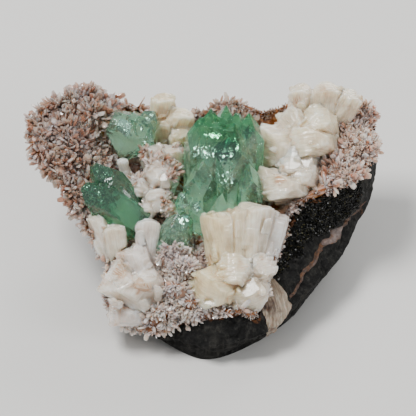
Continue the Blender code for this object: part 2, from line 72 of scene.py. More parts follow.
# ---- the rock and its crust ----
# Edge of the drusy crust: angle, radius, height.
MARGIN = [
    (5, 41, 38.5), (11, 49, 38), (16, 53.3, 38), (21.5, 57.4, 38), (27, 61.2, 38), (32, 64, 40),
    (36.5, 65.4, 42), (39.5, 64.7, 43.5), (42, 60.7, 45), (48.5, 54.3, 45), (54.5, 49.9, 44),
    (58, 46.8, 43), (61.5, 42.3, 42), (66, 38.6, 42), (72.5, 38, 45), (78, 37.5, 47), (86, 35.8, 47),
    (93, 35.3, 45), (100, 34.3, 43), (112, 36.5, 42), (123.5, 42.8, 43), (131.5, 47.7, 45), (137, 52.5, 48),
    (140, 58.5, 51), (144, 61.8, 51), (148, 64, 50), (151, 68, 48), (153.5, 69.4, 47), (157, 69.8, 46),
    (161.5, 68, 45), (165, 65.8, 44), (168, 62.4, 42.5), (171, 58.5, 40.5), (175, 52.4, 37.5),
    (180, 48.8, 34), (185, 46, 31.5), (190, 45, 30), (195, 43.5, 26.5), (200, 42, 23.5), (205, 42, 21),
    (211, 44.3, 16), (217, 47.2, 13), (224, 47, 11), (229, 46.5, 10), (234, 45.2, 9), (239, 43.6, 10),
    (244, 41, 11), (249, 38.3, 13), (255, 36.6, 15), (264, 36.9, 16), (272, 36.8, 18), (280, 37.4, 19.5),
    (285, 39, 18.5), (289, 39.3, 16.5), (294, 36, 18.5), (299, 33, 21.5), (305, 28.8, 24.5),
    (317, 27.7, 27), (329, 26.1, 29), (350, 24.1, 32), (358, 26.1, 34.5),
]
# How far the basalt's upper edge lies inside the crust's edge: angle, inset.
SHOULDER_INSET = [
    (8, -0.8), (30, -1), (40, 2.5), (60, 3), (180, 3), (225, 3), (240, 0.5), (248, -0.7), (300, -1),
    (345, -1.2), (352, -3), (358, -5), (3, -2),
]
SHOULDER_DROP = 1.4  # and how far below it
# Widest part of the rock's side: angle, radius, height.
BELLY = [
    (0, 46, 15), (15, 55, 22), (25, 61, 25), (33, 65.5, 27), (45, 58, 25), (60, 45, 24), (90, 37, 24),
    (120, 41, 24), (140, 53, 28), (150, 60, 30), (160, 58, 28), (170, 50, 25), (180, 42, 20),
    (195, 37.5, 15), (210, 39, 9), (225, 40.5, 6.5), (240, 42, 6), (255, 42, 7.5), (262, 43.5, 7),
    (281, 43.5, 10), (300, 41, 12), (320, 38, 15), (340, 40.5, 16),
]
# Flat base: angle, radius.
FOOT = [
    (2, 38), (15, 43), (31, 45), (49, 41), (82, 30), (121, 32), (150, 37), (165, 34), (180, 29), (200, 27),
    (215, 31), (227, 37), (239, 38), (251, 40), (262, 42.5), (270, 41.5), (281, 38.5), (294, 35.7),
    (308, 34.3), (325, 33.6), (337, 33.6), (350, 34.6),
]
# How far below the crust's edge the rock is broken and full of gas bubbles: angle, depth.
BROKEN = [
    (285, 0), (295, 2.5), (310, 4), (325, 5), (340, 6), (350, 8), (356, 10.5), (1, 14), (5, 17), (8, 17),
    (11, 6), (15, 0), (150, 0),
]
FLOOR_HEIGHT = 26.0  # crust over the middle of the rock
CRUST_THICKNESS = 3.5  # near its edge
BOWL_POWER = 1.7
# Knobs and hollows of the crust: x, y, height, radius.
KNOBS = [
    (-52, 24, 5.0, 13), (-41, 29, 5.0, 9), (-31, 14, -5.0, 9), (4, 33, 3.0, 9), (17, 25, -5.0, 7),
    (45, 26, 5.5, 14), (37, 12, 3.5, 9), (-40, 2, 1.5, 8), (-14, -27, 1.0, 9), (-5, 12, -3.0, 10),
]
BROWN_WALL, BARE_WALL = (19, 38), (19, 37)  # middles of the rusty and of the nearly bare patch at the back
WALL_REACH = 9.0  # and their radius

# ---- crystals ----
PYRAMID_DIP = 60.4  # between a pyramid face of apophyllite and its flat top face
# Apophyllite: root, tip, half width across the faces, how far the tip is above the flat top, turn about the
# axis.
APOPHYLLITE = {
    "apophyllite_main": [
        ((0.0, 5.0, 22), (1.3, 18.9, 65.0), 8.8, 9.0, 22),
        ((3.0, 0.0, 23), (4.5, 10.5, 60.0), 6.4, 1.5, 38),
        ((-6.0, 3.0, 23), (-5.6, 17.0, 59.0), 4.9, 1.0, 12),
        ((9.4, 4.5, 24), (10.7, 18.0, 59.5), 4.0, 0.6, 30),
        ((-5.5, -3.0, 25), (-5.0, 3.8, 51.0), 4.6, 0.8, 45),
        ((9.0, -2.0, 26), (10.6, 4.2, 49.0), 4.2, 0.6, 20),
        ((2.4, -4.5, 26), (2.8, -1.2, 42.5), 4.6, 1.0, 40),
        ((-3.6, 11.0, 40), (-2.2, 19.5, 60.0), 2.9, 0.2, 15),
        ((1.6, 12.0, 40), (3.0, 20.2, 60.8), 3.4, 0.2, 40),
        ((5.4, 11.0, 40), (6.7, 19.0, 59.4), 2.9, 1.2, 25),
        ((-8.5, -5.0, 28), (-12.8, -2.4, 42.0), 3.2, 1.0, 30),
        ((-4.5, -7.0, 28), (-8.6, -4.2, 39.5), 2.8, 0.8, 5),
    ],
    "apophyllite_front": [
        ((-18.5, -15.0, 25), (-8.6, -7.2, 37.0), 4.4, 2.2, 40),
        ((-19.0, -15.0, 25), (-13.5, -8.0, 37.0), 3.2, 0.6, 15),
    ],
    "apophyllite_left": [
        ((-27.0, -7.5, 29), (-47.6, -0.6, 44.0), 4.7, 2.2, 20),
        ((-29.0, -1.0, 30), (-43.8, 6.6, 47.6), 4.4, 2.2, 35),
        ((-29.0, -4.5, 30), (-42.5, 3.0, 44.0), 3.8, 1.0, 5),
    ],
    "apophyllite_upper_left": [
        ((-29.5, 25.0, 39), (-35.0, 19.0, 58.0), 6.2, 4.2, 30),
        ((-27.0, 25.0, 40), (-29.0, 20.5, 56.5), 5.0, 2.2, 12),
        ((-26.5, 26.0, 41), (-21.8, 23.5, 55.0), 3.2, 1.0, 40),
    ],
}
# Stilbite: root, tip, width, thickness, turn of the flat side about the growth axis.
STILBITE = {
    "stilbite_back_left": [
        ((-20, 29, 36), (-18.8, 32, 53.5), 8.8, 5, 6),
        ((-15.5, 27, 34), (-11.8, 28.3, 49.5), 9.2, 5, -8),
        ((-19, 26, 33), (-19.5, 27, 47), 9.8, 5, 4),
        ((-14, 25, 34), (-12, 24, 45), 8.5, 5, 14),
    ],
    "stilbite_middle": [
        ((-20, 11, 28), (-23, 18.5, 43), 8.5, 6, -6),
        ((-18, 10, 28), (-15.3, 17.5, 43), 9, 6, 10),
        ((-21, 9.5, 28), (-29.5, 4, 37.5), 9.5, 6.5, -20),
        ((-20, 10, 28), (-20.5, -2, 36.5), 9, 7, 10),
        ((-22, 6, 28), (-25, -5.5, 33.5), 5.8, 5, 0),
        ((-18, 5, 28), (-16, -4.5, 34), 5.2, 4.5, 20),
        ((-19.5, 11, 28), (-19.2, 7, 43.5), 12, 8, -4),
    ],
    "stilbite_small_blade": [
        ((-30, 12.0, 30), (-33.2, 14.5, 40.3), 3.8, 2.2, 20),
    ],
    "stilbite_right_back": [
        ((31, 30, 37), (28.4, 36.8, 53.5), 8.6, 7, 6),
        ((36, 30, 37), (38.4, 36, 54.8), 11, 7.5, -8),
        ((41, 30, 39), (47, 34, 53), 8.5, 6.5, -20),
        ((30, 25, 38), (15.2, 17.8, 43), 17, 12, -22),
        ((38, 23, 38), (28, 14.5, 48.5), 15, 8.5, 10),
        ((33, 29, 38), (23.4, 28, 48), 12, 8.5, -30),
        ((37, 27, 38), (33.5, 25, 50.5), 13, 9, 20),
    ],
    "stilbite_right_middle": [
        ((28, 10, 30), (12.8, 6.4, 38), 13.5, 10, -14),
        ((30, 7, 32), (18.8, -1, 42), 13, 7, 8),
        ((34, 15, 33), (24, 10.5, 44.5), 12, 8, 6),
        ((31, 10, 33), (27, 5.5, 43), 11, 8.5, 24),
    ],
    "stilbite_front": [
        ((10.5, -25, 18), (13.3, -8, 40.5), 11.5, 10, 10),
        ((7.6, -24.4, 18.6), (8, -9, 39.5), 8, 9.5, 3),
        ((15.2, -22, 21), (20.3, -7.5, 36), 8, 7.6, 29),
        ((3, -24, 20), (-0.3, -9.5, 38.5), 12.5, 10, -8),
        ((8, -22, 19.5), (-5.5, -33.3, 25), 15.5, 11, -30),
        ((9.4, -21.4, 20.6), (11, -35.8, 21.8), 14, 9.5, 18),
        ((6.6, -24.6, 21), (5, -28.5, 31.5), 12, 9.5, 5),
        ((12.8, -23.6, 19.4), (16.2, -25.4, 30), 9, 7.5, 16),
    ],
    "stilbite_left_front": [
        ((-22, -29, 12), (-37.2, -25.5, 24.2), 19, 9.5, -8),
        ((-23, -28, 14), (-30, -17.5, 29.5), 12.5, 8.5, 10),
        ((-22, -30, 12), (-26.5, -28, 27), 13.5, 8.5, 30),
        ((-22, -31, 11), (-36.5, -33.5, 14.5), 12, 7.5, -10),
        ((-25, -24, 17), (-23.6, -9.5, 35), 8.8, 7, 8),
    ],
    "stilbite_left_edge": [
        ((-37, -15.5, 22), (-42, -7, 34.5), 7.5, 5.2, -6),
        ((-33.5, -17.5, 23), (-35.5, -12, 34.5), 8, 4.8, 10),
    ],
}

# Fibrous wedge on the rock's front corner: height, angle, half width in degrees, bulge.
WEDGE = [
    (21.8, 305, 3.6, 0.3), (19, 303.5, 7, 0.8), (15.5, 302, 8.5, 1.2), (10.5, 299.5, 6, 1.1),
    (6, 297.8, 3.4, 0.8), (2.5, 297, 1.2, 0.3),
]
# Vein across the rock's side: angle, height, radius of the vein.
VEIN = [
    (12, 23.5, 0.6), (7, 22.4, 0.8), (3, 21.6, 1.0), (0, 20.8, 1.7), (357, 20.2, 2.2), (353.5, 20.2, 2.0),
    (350, 20.6, 1.2), (342, 20.5, 1.0), (333, 20.2, 1.1), (325, 19, 1.1), (318, 17, 1.0),
    (311.5, 15.8, 0.9),
]


# ---- numbers and noise ----
def hashed(cells, seed):
    """Pseudo-random numbers from 0 to 1 for the cells of a grid: their whole-number coordinates are
    multiplied by large odd numbers, and the sum's bits are mixed."""
    mixed = cells[..., 0] * 374761393 + cells[..., 1] * 668265263 + cells[..., 2] * 1440662683 + seed * 974711
    mixed = (mixed ^ (mixed >> 13)) * 1274126177
    mixed = (mixed ^ (mixed >> 15)) * 668265263
    return ((mixed ^ (mixed >> 16)) & 0xFFFF) / 65535.0


def value_noise(points, size, seed):
    """Noise from -1 to 1 with features of a given size: hashed values at the corners of cubes, blended with
    a smooth step along every axis."""
    place = points / size + 0.37 * seed
    cell = np.floor(place).astype(np.int64)
    part = place - cell
    part = part * part * (3 - 2 * part)
    total = np.zeros(points.shape[:-1])
    for corner in itertools.product((0, 1), repeat=3):
        total += np.prod(np.where(corner, part, 1 - part), axis=-1) * hashed(cell + np.array(corner), seed)
    return 2 * total - 1


def fractal(points, size, seed, octaves=4):
    """Sum of noises, each with half the feature size and half the height of the one before."""
    return sum(value_noise(points, size / 2**i, seed + i) / 2**i for i in range(octaves))


def hollows(points, size, seed, share):
    """Round hollows, 0 outside and 1 at the middle of the largest: a share of a grid's cubes holds one each,
    at a hashed place and of a hashed radius, as deep as half a ball."""
    smallest, more, largest = 0.15, 0.4, 0.55  # radius, in cubes
    place = points / size
    cell = np.floor(place).astype(np.int64)
    depth = np.zeros(points.shape[:-1])
    for step in itertools.product((-1, 0, 1), repeat=3):
        there = cell + np.array(step)
        centre = there + np.stack([hashed(there, seed + i) for i in range(3)], axis=-1)
        radius = (smallest + more * hashed(there, seed + 3)) * (hashed(there, seed + 4) < share)
        gap = np.linalg.norm(place - centre, axis=-1)
        depth = np.maximum(depth, np.sqrt(np.clip(1 - (gap / np.maximum(radius, 1e-6)) ** 2, 0, 1)) * radius)
    return depth / largest


def smooth_step(low, high, value):
    """0 up to low, 1 from high on, and an S-shaped change between them. Low may be the greater of the
    two."""
    t = np.clip((value - low) / (high - low), 0, 1)
    return t * t * (3 - 2 * t)


def bell(x, y, middle, radius):
    """Round patch: e to the power of minus the squared distance in radii."""
    return np.exp(-((x - middle[0]) ** 2 + (y - middle[1]) ** 2) / radius**2)


def unit(vectors):
    """Vectors divided by their lengths."""
    return vectors / np.linalg.norm(vectors, axis=-1, keepdims=True)


def ring_table(table, column, spread):
    """Column of a table as 720 values round the circle: straight between rows, then averaged over a few
    degrees with a bell-shaped weight."""
    rows = sorted(table)
    values = np.interp(np.arange(720) / 2, [r[0] for r in rows], [r[column] for r in rows], period=360)
    offsets = np.arange(-24, 25)
    weights = np.exp(-((offsets / 2 / spread) ** 2))
    return sum(w * np.roll(values, -o) for w, o in zip(weights, offsets)) / weights.sum()


MARGIN_RADIUS = ring_table(MARGIN, 1, 1.2)
MARGIN_HEIGHT = ring_table(MARGIN, 2, 2.0)
INSET = ring_table(SHOULDER_INSET, 1, 3.0)
BELLY_RADIUS = ring_table(BELLY, 1, 4.0)
BELLY_HEIGHT = ring_table(BELLY, 2, 5.0)
FOOT_RADIUS = ring_table(FOOT, 1, 4.0)
BROKEN_DEPTH = ring_table(BROKEN, 1, 1.5)


def at_angle(ring, angle):
    """Value at any angle in degrees, straight between a ring's 720 values."""
    return np.interp(np.mod(angle, 360), np.arange(721) / 2, np.append(ring, ring[0]))


def apart(angle, other):
    """Angle from the other one, from -180 to 180."""
    return np.mod(angle - other + 180, 360) - 180


def on_ray(angle, radius, height):
    """Points from angle in degrees, radius and height."""
    a = np.radians(angle)
    return np.stack(np.broadcast_arrays(radius * np.cos(a), radius * np.sin(a), height), axis=-1)


# ---- shapes of the rock and the crust ----
def wall_radius(angle, height):
    """Radius of the rock's side: straight from the foot to the belly and from the belly to the upper
    edge."""
    top_radius = at_angle(MARGIN_RADIUS, angle) - at_angle(INSET, angle)
    top_height = at_angle(MARGIN_HEIGHT, angle) - SHOULDER_DROP
    belly = at_angle(BELLY_RADIUS, angle)
    belly_height = np.minimum(at_angle(BELLY_HEIGHT, angle), top_height - 2)
    foot = at_angle(FOOT_RADIUS, angle)
    lower = foot + (belly - foot) * height / belly_height
    upper = belly + (top_radius - belly) * (height - belly_height) / (top_height - belly_height)
    return np.where(height < belly_height, lower, upper)


def rock_roughness(angle, height):
    """1 where the side is broken and full of gas bubbles, just under the crust at the right, 0 where it is
    plain."""
    below_edge = at_angle(MARGIN_HEIGHT, angle) - height
    wander = 1.6 * fractal(on_ray(angle, 45.0, height), 5, 181, 3)
    depth = at_angle(BROKEN_DEPTH, angle)
    return smooth_step(depth + 1.2, depth - 1.2, below_edge + wander) * smooth_step(0.5, 2.0, depth)


def rock_point(angle, height):
    """Point of the rock's side: the wall's radius plus noise of several sizes, less chips in the plain part,
    gas bubbles in the rough one and a few hollows in both. The noise fades at the foot, so that the base is
    flat."""
    plain = on_ray(angle, wall_radius(angle, height), height)
    rough = rock_roughness(angle, height)
    rise = 1.0 * fractal(plain, 13, 21, 3) + 0.22 * fractal(plain, 2.6, 31, 3)
    chips = np.abs(fractal(plain, 7, 41, 2))
    rise -= 0.9 * smooth_step(0.35, 0.0, chips) * (1 - rough)
    rise += rough * (1.3 * fractal(plain, 3.0, 51, 5) - 0.7 - 1.9 * hollows(plain, 3.1, 61, 0.9)
                     - 0.7 * hollows(plain, 1.5, 63, 0.8) + 0.5 * value_noise(plain, 1.1, 65))
    rise -= 0.5 * hollows(plain, 2.4, 71, 0.25)
    rise *= smooth_step(0, 2.5, height)
    return plain + on_ray(angle, 1.0, 0.0) * rise[..., None]


def crust_height(x, y):
    """Height of the crust: a bowl that rises to the edge with a power of the distance, with round knobs and
    hollows added, and noise of two sizes."""
    angle = np.degrees(np.arctan2(y, x))
    share = np.minimum(np.hypot(x, y) / at_angle(MARGIN_RADIUS, angle), 1.0)
    height = FLOOR_HEIGHT + (at_angle(MARGIN_HEIGHT, angle) + 0.5 - FLOOR_HEIGHT) * share**BOWL_POWER
    for kx, ky, rise, radius in KNOBS:
        height = height + rise * bell(x, y, (kx, ky), radius) * np.minimum(1.0, (1.02 - share) * 5)
    flat = np.stack([x, y, np.zeros_like(x)], axis=-1)
    return height + 1.1 * fractal(flat, 7, 81, 3) + 0.6 * fractal(flat, 1.8, 91, 2)


# ---- meshes ----
def placed(name, data):
    """New object in the scene, at the origin."""
    made = bpy.data.objects.new(name, data)
    bpy.context.scene.collection.objects.link(made)
    return made


def set_numbers(mesh, numbers):
    """Named numbers, one for each point of a mesh."""
    for key, values in numbers.items():
        column = mesh.attributes.new(key, "FLOAT", "POINT").data
        column.foreach_set("value", values.astype(np.float32).ravel())


def new_piece(name, points, quads, triangles=None, smooth=True, uv=None, **numbers):
    """Object from points in millimetres, four-sided and three-sided faces, a UV pair and named numbers a
    point."""
    triangles = np.zeros((0, 3), np.int64) if triangles is None else triangles
    mesh = bpy.data.meshes.new(name)
    mesh.vertices.add(len(points))
    mesh.vertices.foreach_set("co", (points * MM).astype(np.float32).ravel())
    corners = np.concatenate([quads.ravel(), triangles.ravel()]).astype(np.int32)
    sizes = np.concatenate([np.full(len(quads), 4), np.full(len(triangles), 3)])
    mesh.loops.add(len(corners))
    mesh.loops.foreach_set("vertex_index", corners)
    mesh.polygons.add(len(sizes))
    mesh.polygons.foreach_set("loop_start", (np.cumsum(sizes) - sizes).astype(np.int32))
    mesh.polygons.foreach_set("use_smooth", np.full(len(sizes), smooth))
    mesh.update(calc_edges=True)
    if uv is not None:
        mesh.uv_layers.new(name="UVMap").data.foreach_set("uv", uv[corners].astype(np.float32).ravel())
    set_numbers(mesh, numbers)
    mesh.validate()
    return placed(name, mesh)


def with_poles(grid):
    """Points of a wrapping grid followed by the middle of its first and of its last row."""
    flat = grid.reshape(-1, grid.shape[-1])
    return np.concatenate([flat, grid[0].mean(axis=0)[None], grid[-1].mean(axis=0)[None]])


def tube_piece(name, points, columns, **more):
    """Closed surface whose grid wraps round: quads between its rows, and a fan to a pole at each end. The
    points are the grid row by row, then the first pole, then the last."""
    rows = (len(points) - 2) // columns
    row, column = np.meshgrid(np.arange(rows - 1), np.arange(columns), indexing="ij")
    here, beside = row * columns + column, row * columns + (column + 1) % columns
    quads = np.stack([here, beside, beside + columns, here + columns], axis=-1).reshape(-1, 4)
    ring = np.arange(columns)
    turn = (ring + 1) % columns
    last, pole = (rows - 1) * columns, np.full(columns, rows * columns)
    fans = np.stack([turn, ring, pole], axis=-1), np.stack([ring + last, turn + last, pole + 1], axis=-1)
    return new_piece(name, points, quads, np.concatenate(fans), **more)


def finished(piece, material, slot, *replaced):
    """Gives a piece its material and its body, and hides the solids it stands for; the argument slot is not
    used.
    """
    piece.data.materials.clear()
    piece.data.materials.append(material)
    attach(piece, "root")
    if replaced:
        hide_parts(*replaced)


# ---- rock and crust ----
ROCK_COLUMNS, WALL_ROWS = 520, 150
CRUST_COLUMNS = 420
LIP_RADIUS = 1.4  # of the crust's rounded lip
DARK_TRIES = 60000


def basalt_piece(material):
    """Rock: rows run from the middle of the flat base out to the foot, up the side, and in again under the
    crust, and columns stand closest where the rock is broken. The number rust is high near the crust's edge
    and in a seam below it at the right, and broken in the bubbly part."""
    angle = np.linspace(0, 360, ROCK_COLUMNS, endpoint=False)[None, :]
    angle = angle + 25 * np.sin(np.radians(angle - 165))
    base = on_ray(angle, at_angle(FOOT_RADIUS, angle) * np.array([0.3, 0.65, 0.9, 0.98])[:, None], 0.0)
    top_height = at_angle(MARGIN_HEIGHT, angle) - SHOULDER_DROP
    height = np.linspace(0, 1, WALL_ROWS)[:, None] * top_height
    edge = at_angle(MARGIN_RADIUS, angle) - at_angle(INSET, angle)
    share = np.array([0.985, 0.96, 0.92, 0.85, 0.7, 0.45, 0.2])[:, None]
    inner = on_ray(angle, edge * share, 0.0)
    depth = np.interp(share, [0.45, 0.85, 0.985], [9.0, CRUST_THICKNESS + 0.8, CRUST_THICKNESS - 1])
    inner[..., 2] = np.minimum(crust_height(inner[..., 0], inner[..., 1]) - depth, top_height + 0.6)
    points = with_poles(np.concatenate([base, rock_point(angle, height), inner]))
    heights = [np.zeros((len(base), ROCK_COLUMNS)), height, np.repeat(top_height, len(inner), axis=0)]
    heights = np.concatenate(heights)
    below = with_poles((at_angle(MARGIN_HEIGHT, angle) - heights)[..., None])[:, 0]
    turn = with_poles(np.broadcast_to(angle, heights.shape)[..., None])[:, 0]
    rust = smooth_step(2.7, 1.6, below + 1.1 * fractal(points, 3, 101, 3))
    seam = np.exp(-(apart(turn, 9.5) / 1.3) ** 2) * smooth_step(22, 14, below)
    rust = np.maximum(rust, seam * smooth_step(-0.5, 0.4, fractal(points, 2.5, 105, 3)))
    rough = rock_roughness(turn, at_angle(MARGIN_HEIGHT, turn) - below)
    piece = tube_piece("basalt_rock", points, ROCK_COLUMNS, rust=rust, broken=rough)
    finished(piece, material, "basalt", "basalt")


def dark_crystals(material):
    """Tiny dark crystals that line the opened gas bubbles: random places, kept by how broken the rock is
    there, clear of the vein and the wedge."""
    dice = np.random.default_rng(SEED)
    angle, height = dice.uniform(-78, 16, DARK_TRIES), dice.uniform(4, 38, DARK_TRIES)
    below = at_angle(MARGIN_HEIGHT, angle) - height + 0.8 * value_noise(on_ray(angle, 40.0, height), 3.0, 183)
    vein = np.interp(angle, [(r[0] + 90) % 360 - 90 for r in VEIN[::-1]], [r[1] for r in VEIN[::-1]])
    wedge = [np.interp(height, *zip(*sorted((r[0], r[i]) for r in WEDGE))) for i in (1, 2)]
    kept = (rock_roughness(angle, height) > dice.random(DARK_TRIES)) & (below > 2.0)
    kept &= (abs(height - vein) > 1.6) & (abs(apart(angle, wedge[0])) > wedge[1] + 1)
    angle, height = angle[kept], height[kept]
    axis = unit(on_ray(angle, 1.0, 0.4) + 0.9 * dice.normal(size=(len(angle), 3)))
    length = dice.uniform(0.35, 1.0, len(angle))
    half = length * dice.uniform(0.2, 0.45, len(angle))
    size = np.stack([half, half * 0.6, length], axis=-1)
    place = rock_point(angle, height) - 0.25 * on_ray(angle, 1.0, 0.0)
    laths("basalt_dark_crystals", place, axis, size, dice, material, "basalt", tone=dice.random(len(angle)))


def crust_grid():
    """Points of the crust, rows from the middle of its underside out to the lip, round the lip, and in again
    over the top to the middle."""
    angle = np.linspace(0, 360, CRUST_COLUMNS, endpoint=False)[None, :]
    edge, high = at_angle(MARGIN_RADIUS, angle), at_angle(MARGIN_HEIGHT, angle)
    share = np.array([0.25, 0.5, 0.75, 0.9])[:, None]
    under = on_ray(angle, edge * share, 0.0)
    drop = np.interp(share, [0.25, 0.9], [6.0, CRUST_THICKNESS])
    under[..., 2] = crust_height(under[..., 0], under[..., 1]) - drop
    bend = np.radians(np.linspace(-80, 60, 10))[:, None]
    lip = on_ray(angle, edge * 0.99 - 1.0 + LIP_RADIUS * np.cos(bend), high - 0.8 + LIP_RADIUS * np.sin(bend))
    ragged = 0.7 * fractal(lip, 4.5, 111, 3) + 0.5 * fractal(lip, 1.4, 113, 2)
    lip += on_ray(angle, 1.0, 0.0) * ragged[..., None]
    share = np.concatenate([np.linspace(0.965, 0.8, 26), np.linspace(0.79, 0.02, 74)])[:, None]
    top = on_ray(angle, edge * share, 0.0)
    top[..., 2] = crust_height(top[..., 0], top[..., 1])
    return np.concatenate([under, lip, top])


def crust_rust(points):
    """Rust from 0 to 1: patches of noise, more of them near the lip and down its outside. At the back it
    goes over 1, where crystals are brown nearly to their tips."""
    x, y, z = points.T
    angle = np.degrees(np.arctan2(y, x))
    share = np.hypot(x, y) / at_angle(MARGIN_RADIUS, angle)
    below = smooth_step(0.0, 2.5, at_angle(MARGIN_HEIGHT, angle) - z) * smooth_step(0.93, 0.99, share)
    patches = fractal(points, 7, 121, 4) + 0.35 * smooth_step(0.86, 1.0, share) + 1.1 * below
    return smooth_step(0.1, 0.75, patches) + 1.5 * bell(x, y, BROWN_WALL, WALL_REACH)


def crust_piece(grid, material):
    """Crust, with the numbers rust, high along the lip and in patches, and tone. At a clear crystal's root
    tone is high and rust is taken out, so the crust there is white: painted light, standing for the light
    that the glass keeps off it."""
    points = with_poles(grid)
    root = in_apophyllite(points, 0.5)
    # painted light: inside a clear crystal the crust is drawn white and clean, since the glass casts shade on
    # it
    rust, tone = np.where(root, -0.5, crust_rust(points)), np.where(root, 1.0, 0.4)
    piece = tube_piece("druse_crust_skin", points, CRUST_COLUMNS, rust=rust, tone=tone)
    finished(piece, material, "druse", "druse_crust")


def growth_frame(root, tip, turn):
    """Unit vectors side, back and axis: the axis runs from root to tip, back lies as near as it can to the
    way up and away from the front, or down and away where the axis itself runs up and away, and turn spins
    side and back about the axis."""
    axis = np.subtract(tip, root) / np.linalg.norm(np.subtract(tip, root))
    back = np.array([0.0, 1, 1]) - np.dot([0.0, 1, 1], axis) * axis
    if np.linalg.norm(back) < 0.2:
        back = np.array([0.0, 1, -1]) - np.dot([0.0, 1, -1], axis) * axis
    back /= np.linalg.norm(back)
    side = np.cross(back, axis)
    t = math.radians(turn)
    return np.stack([math.cos(t) * side + math.sin(t) * back, math.cos(t) * back - math.sin(t) * side, axis])


def in_apophyllite(points, clearance):
    """True for points inside any clear crystal, or nearer to it than the clearance, or, where that is
    negative, inside by more than it."""
    inside = np.zeros(len(points), bool)
    dip = math.radians(PYRAMID_DIP)
    for root, tip, half_width, cut_back, turn in sum(APOPHYLLITE.values(), []):
        x, y, z = ((points - root) @ growth_frame(root, tip, turn).T).T
        length = math.dist(root, tip)
        slanted = (np.abs(x) + np.abs(y)) * math.sin(dip) / math.sqrt(2) + (z - length) * math.cos(dip)
        within = (np.maximum(np.abs(x), np.abs(y)) < half_width + clearance) & (z > -2)
        inside |= within & (z < length - cut_back + clearance) & (slanted < clearance)
    return inside


# ---- small crystals ----
# Lath with a chisel end: its outline as a flat hexagon at the foot and the shoulder, and two points on the
# ridge.
HEXAGON = [(1, 0), (0.62, 1), (-0.62, 1), (-1, 0), (-0.62, -1), (0.62, -1)]
LATH_POINTS = np.array([(x, y, z) for z in (-0.3, 0.78) for x, y in HEXAGON]
                       + [(0.6, 0, 1.0), (-0.6, 0, 1.0)])
LATH_QUADS = np.array([(i, (i + 1) % 6, 6 + (i + 1) % 6, 6 + i) for i in range(6)]
                      + [(7, 8, 13, 12), (10, 11, 12, 13), (0, 5, 4, 3), (0, 3, 2, 1)])
LATH_TRIANGLES = np.array([(6, 7, 12), (8, 9, 13), (9, 10, 13), (11, 6, 12)])


def scattered(grid, count, dice, patch):
    """Random places on a wrapping grid of points, and the outward directions there: the chance is the area
    times a weight that is 1 at the middle of a round patch of x, y and radius and fades about its edge."""
    here, beside = grid[:-1], np.roll(grid, -1, axis=1)[:-1]
    above, across = grid[1:], np.roll(grid, -1, axis=1)[1:]
    outward = np.cross(beside - here, above - here).reshape(-1, 3)
    area = np.linalg.norm(outward, axis=1)
    middle = ((here + beside + above + across) / 4).reshape(-1, 3)
    gap = np.hypot(middle[:, 0] - patch[0], middle[:, 1] - patch[1])
    weight = area * (np.exp(-((gap / patch[2]) ** 4)) + 1e-6)
    chosen = dice.choice(len(area), size=count, p=weight / weight.sum())
    a, b = dice.random((2, count, 1))
    corners = [c.reshape(-1, 3)[chosen] for c in (here, beside, above, across)]
    place = (corners[0] * (1 - a) + corners[1] * a) * (1 - b) + (corners[2] * (1 - a) + corners[3] * a) * b
    return place, outward[chosen] / np.maximum(area[chosen, None], 1e-9)


def lath_shapes(place, axis, size, side):
    """Points and faces of many laths: the lath's points, scaled by each crystal's half width, half thickness
    and length, in its own frame, whose wide side lies as near the given direction as it can."""
    side = unit(side - np.sum(side * axis, axis=1, keepdims=True) * axis)
    back = np.cross(axis, side)
    half, thin, long = (size[:, i, None, None] for i in range(3))
    local = LATH_POINTS[None]
    points = place[:, None] + half * local[..., :1] * side[:, None] + thin * local[..., 1:2] * back[:, None]
    points = (points + long * local[..., 2:] * axis[:, None]).reshape(-1, 3)
    step = np.arange(len(place))[:, None, None] * len(LATH_POINTS)
    return points, (LATH_QUADS[None] + step).reshape(-1, 4), (LATH_TRIANGLES[None] + step).reshape(-1, 3)


def laths(name, place, axis, size, dice, material, slot, **numbers):
    """Many small crystals in one mesh, spun at random about their axes. The number up runs from -0.3 at the
    sunken foot to 1 at the tip, and the others are the same all over one crystal."""
    shapes = lath_shapes(place, axis, size, dice.normal(size=(len(place), 3)))
    values = {key: np.repeat(number, len(LATH_POINTS)) for key, number in numbers.items()}
    up = np.tile(LATH_POINTS[:, 2], len(place))
    finished(new_piece(name, *shapes, smooth=False, **values, up=up), material, slot)


# Patches of crust where crystals crowd: name, x, y, radius, how many rosettes, mean length, longest.
DRUSE_FIELDS = [
    ("druse_left_lobe", -50, 20, 27, 340, 3.2, 6.0),
    ("druse_right_lobe", 47, 25, 24, 360, 2.8, 5.4),
    ("druse_front", -12, -30, 24, 300, 2.8, 5.0),
    ("druse_back", 5, 34, 22, 260, 2.3, 4.4),
    ("druse_middle", 0, 0, 40, 340, 2.1, 3.6),
    ("druse_beside_middle", -26, 3, 6, 50, 3.6, 6.0),
]
PALE_FIELDS = ("druse_right_lobe", "druse_front", "druse_middle")
BLADES_EACH, LIP_BLADES_EACH = 15, 7  # crystals in a rosette
LIP_ROSETTES, LIP_MEAN, LIP_LONGEST = 1150, 1.1, 2.1
BACK_MIDDLE, BACK_REACH = 155, 85  # angles within which crystals also grow down the crust's outside
ROOM_BELOW, ROOM_ABOVE = 2, (2.4, 1.7, 1.2)  # how far tips may stand past the solids' box


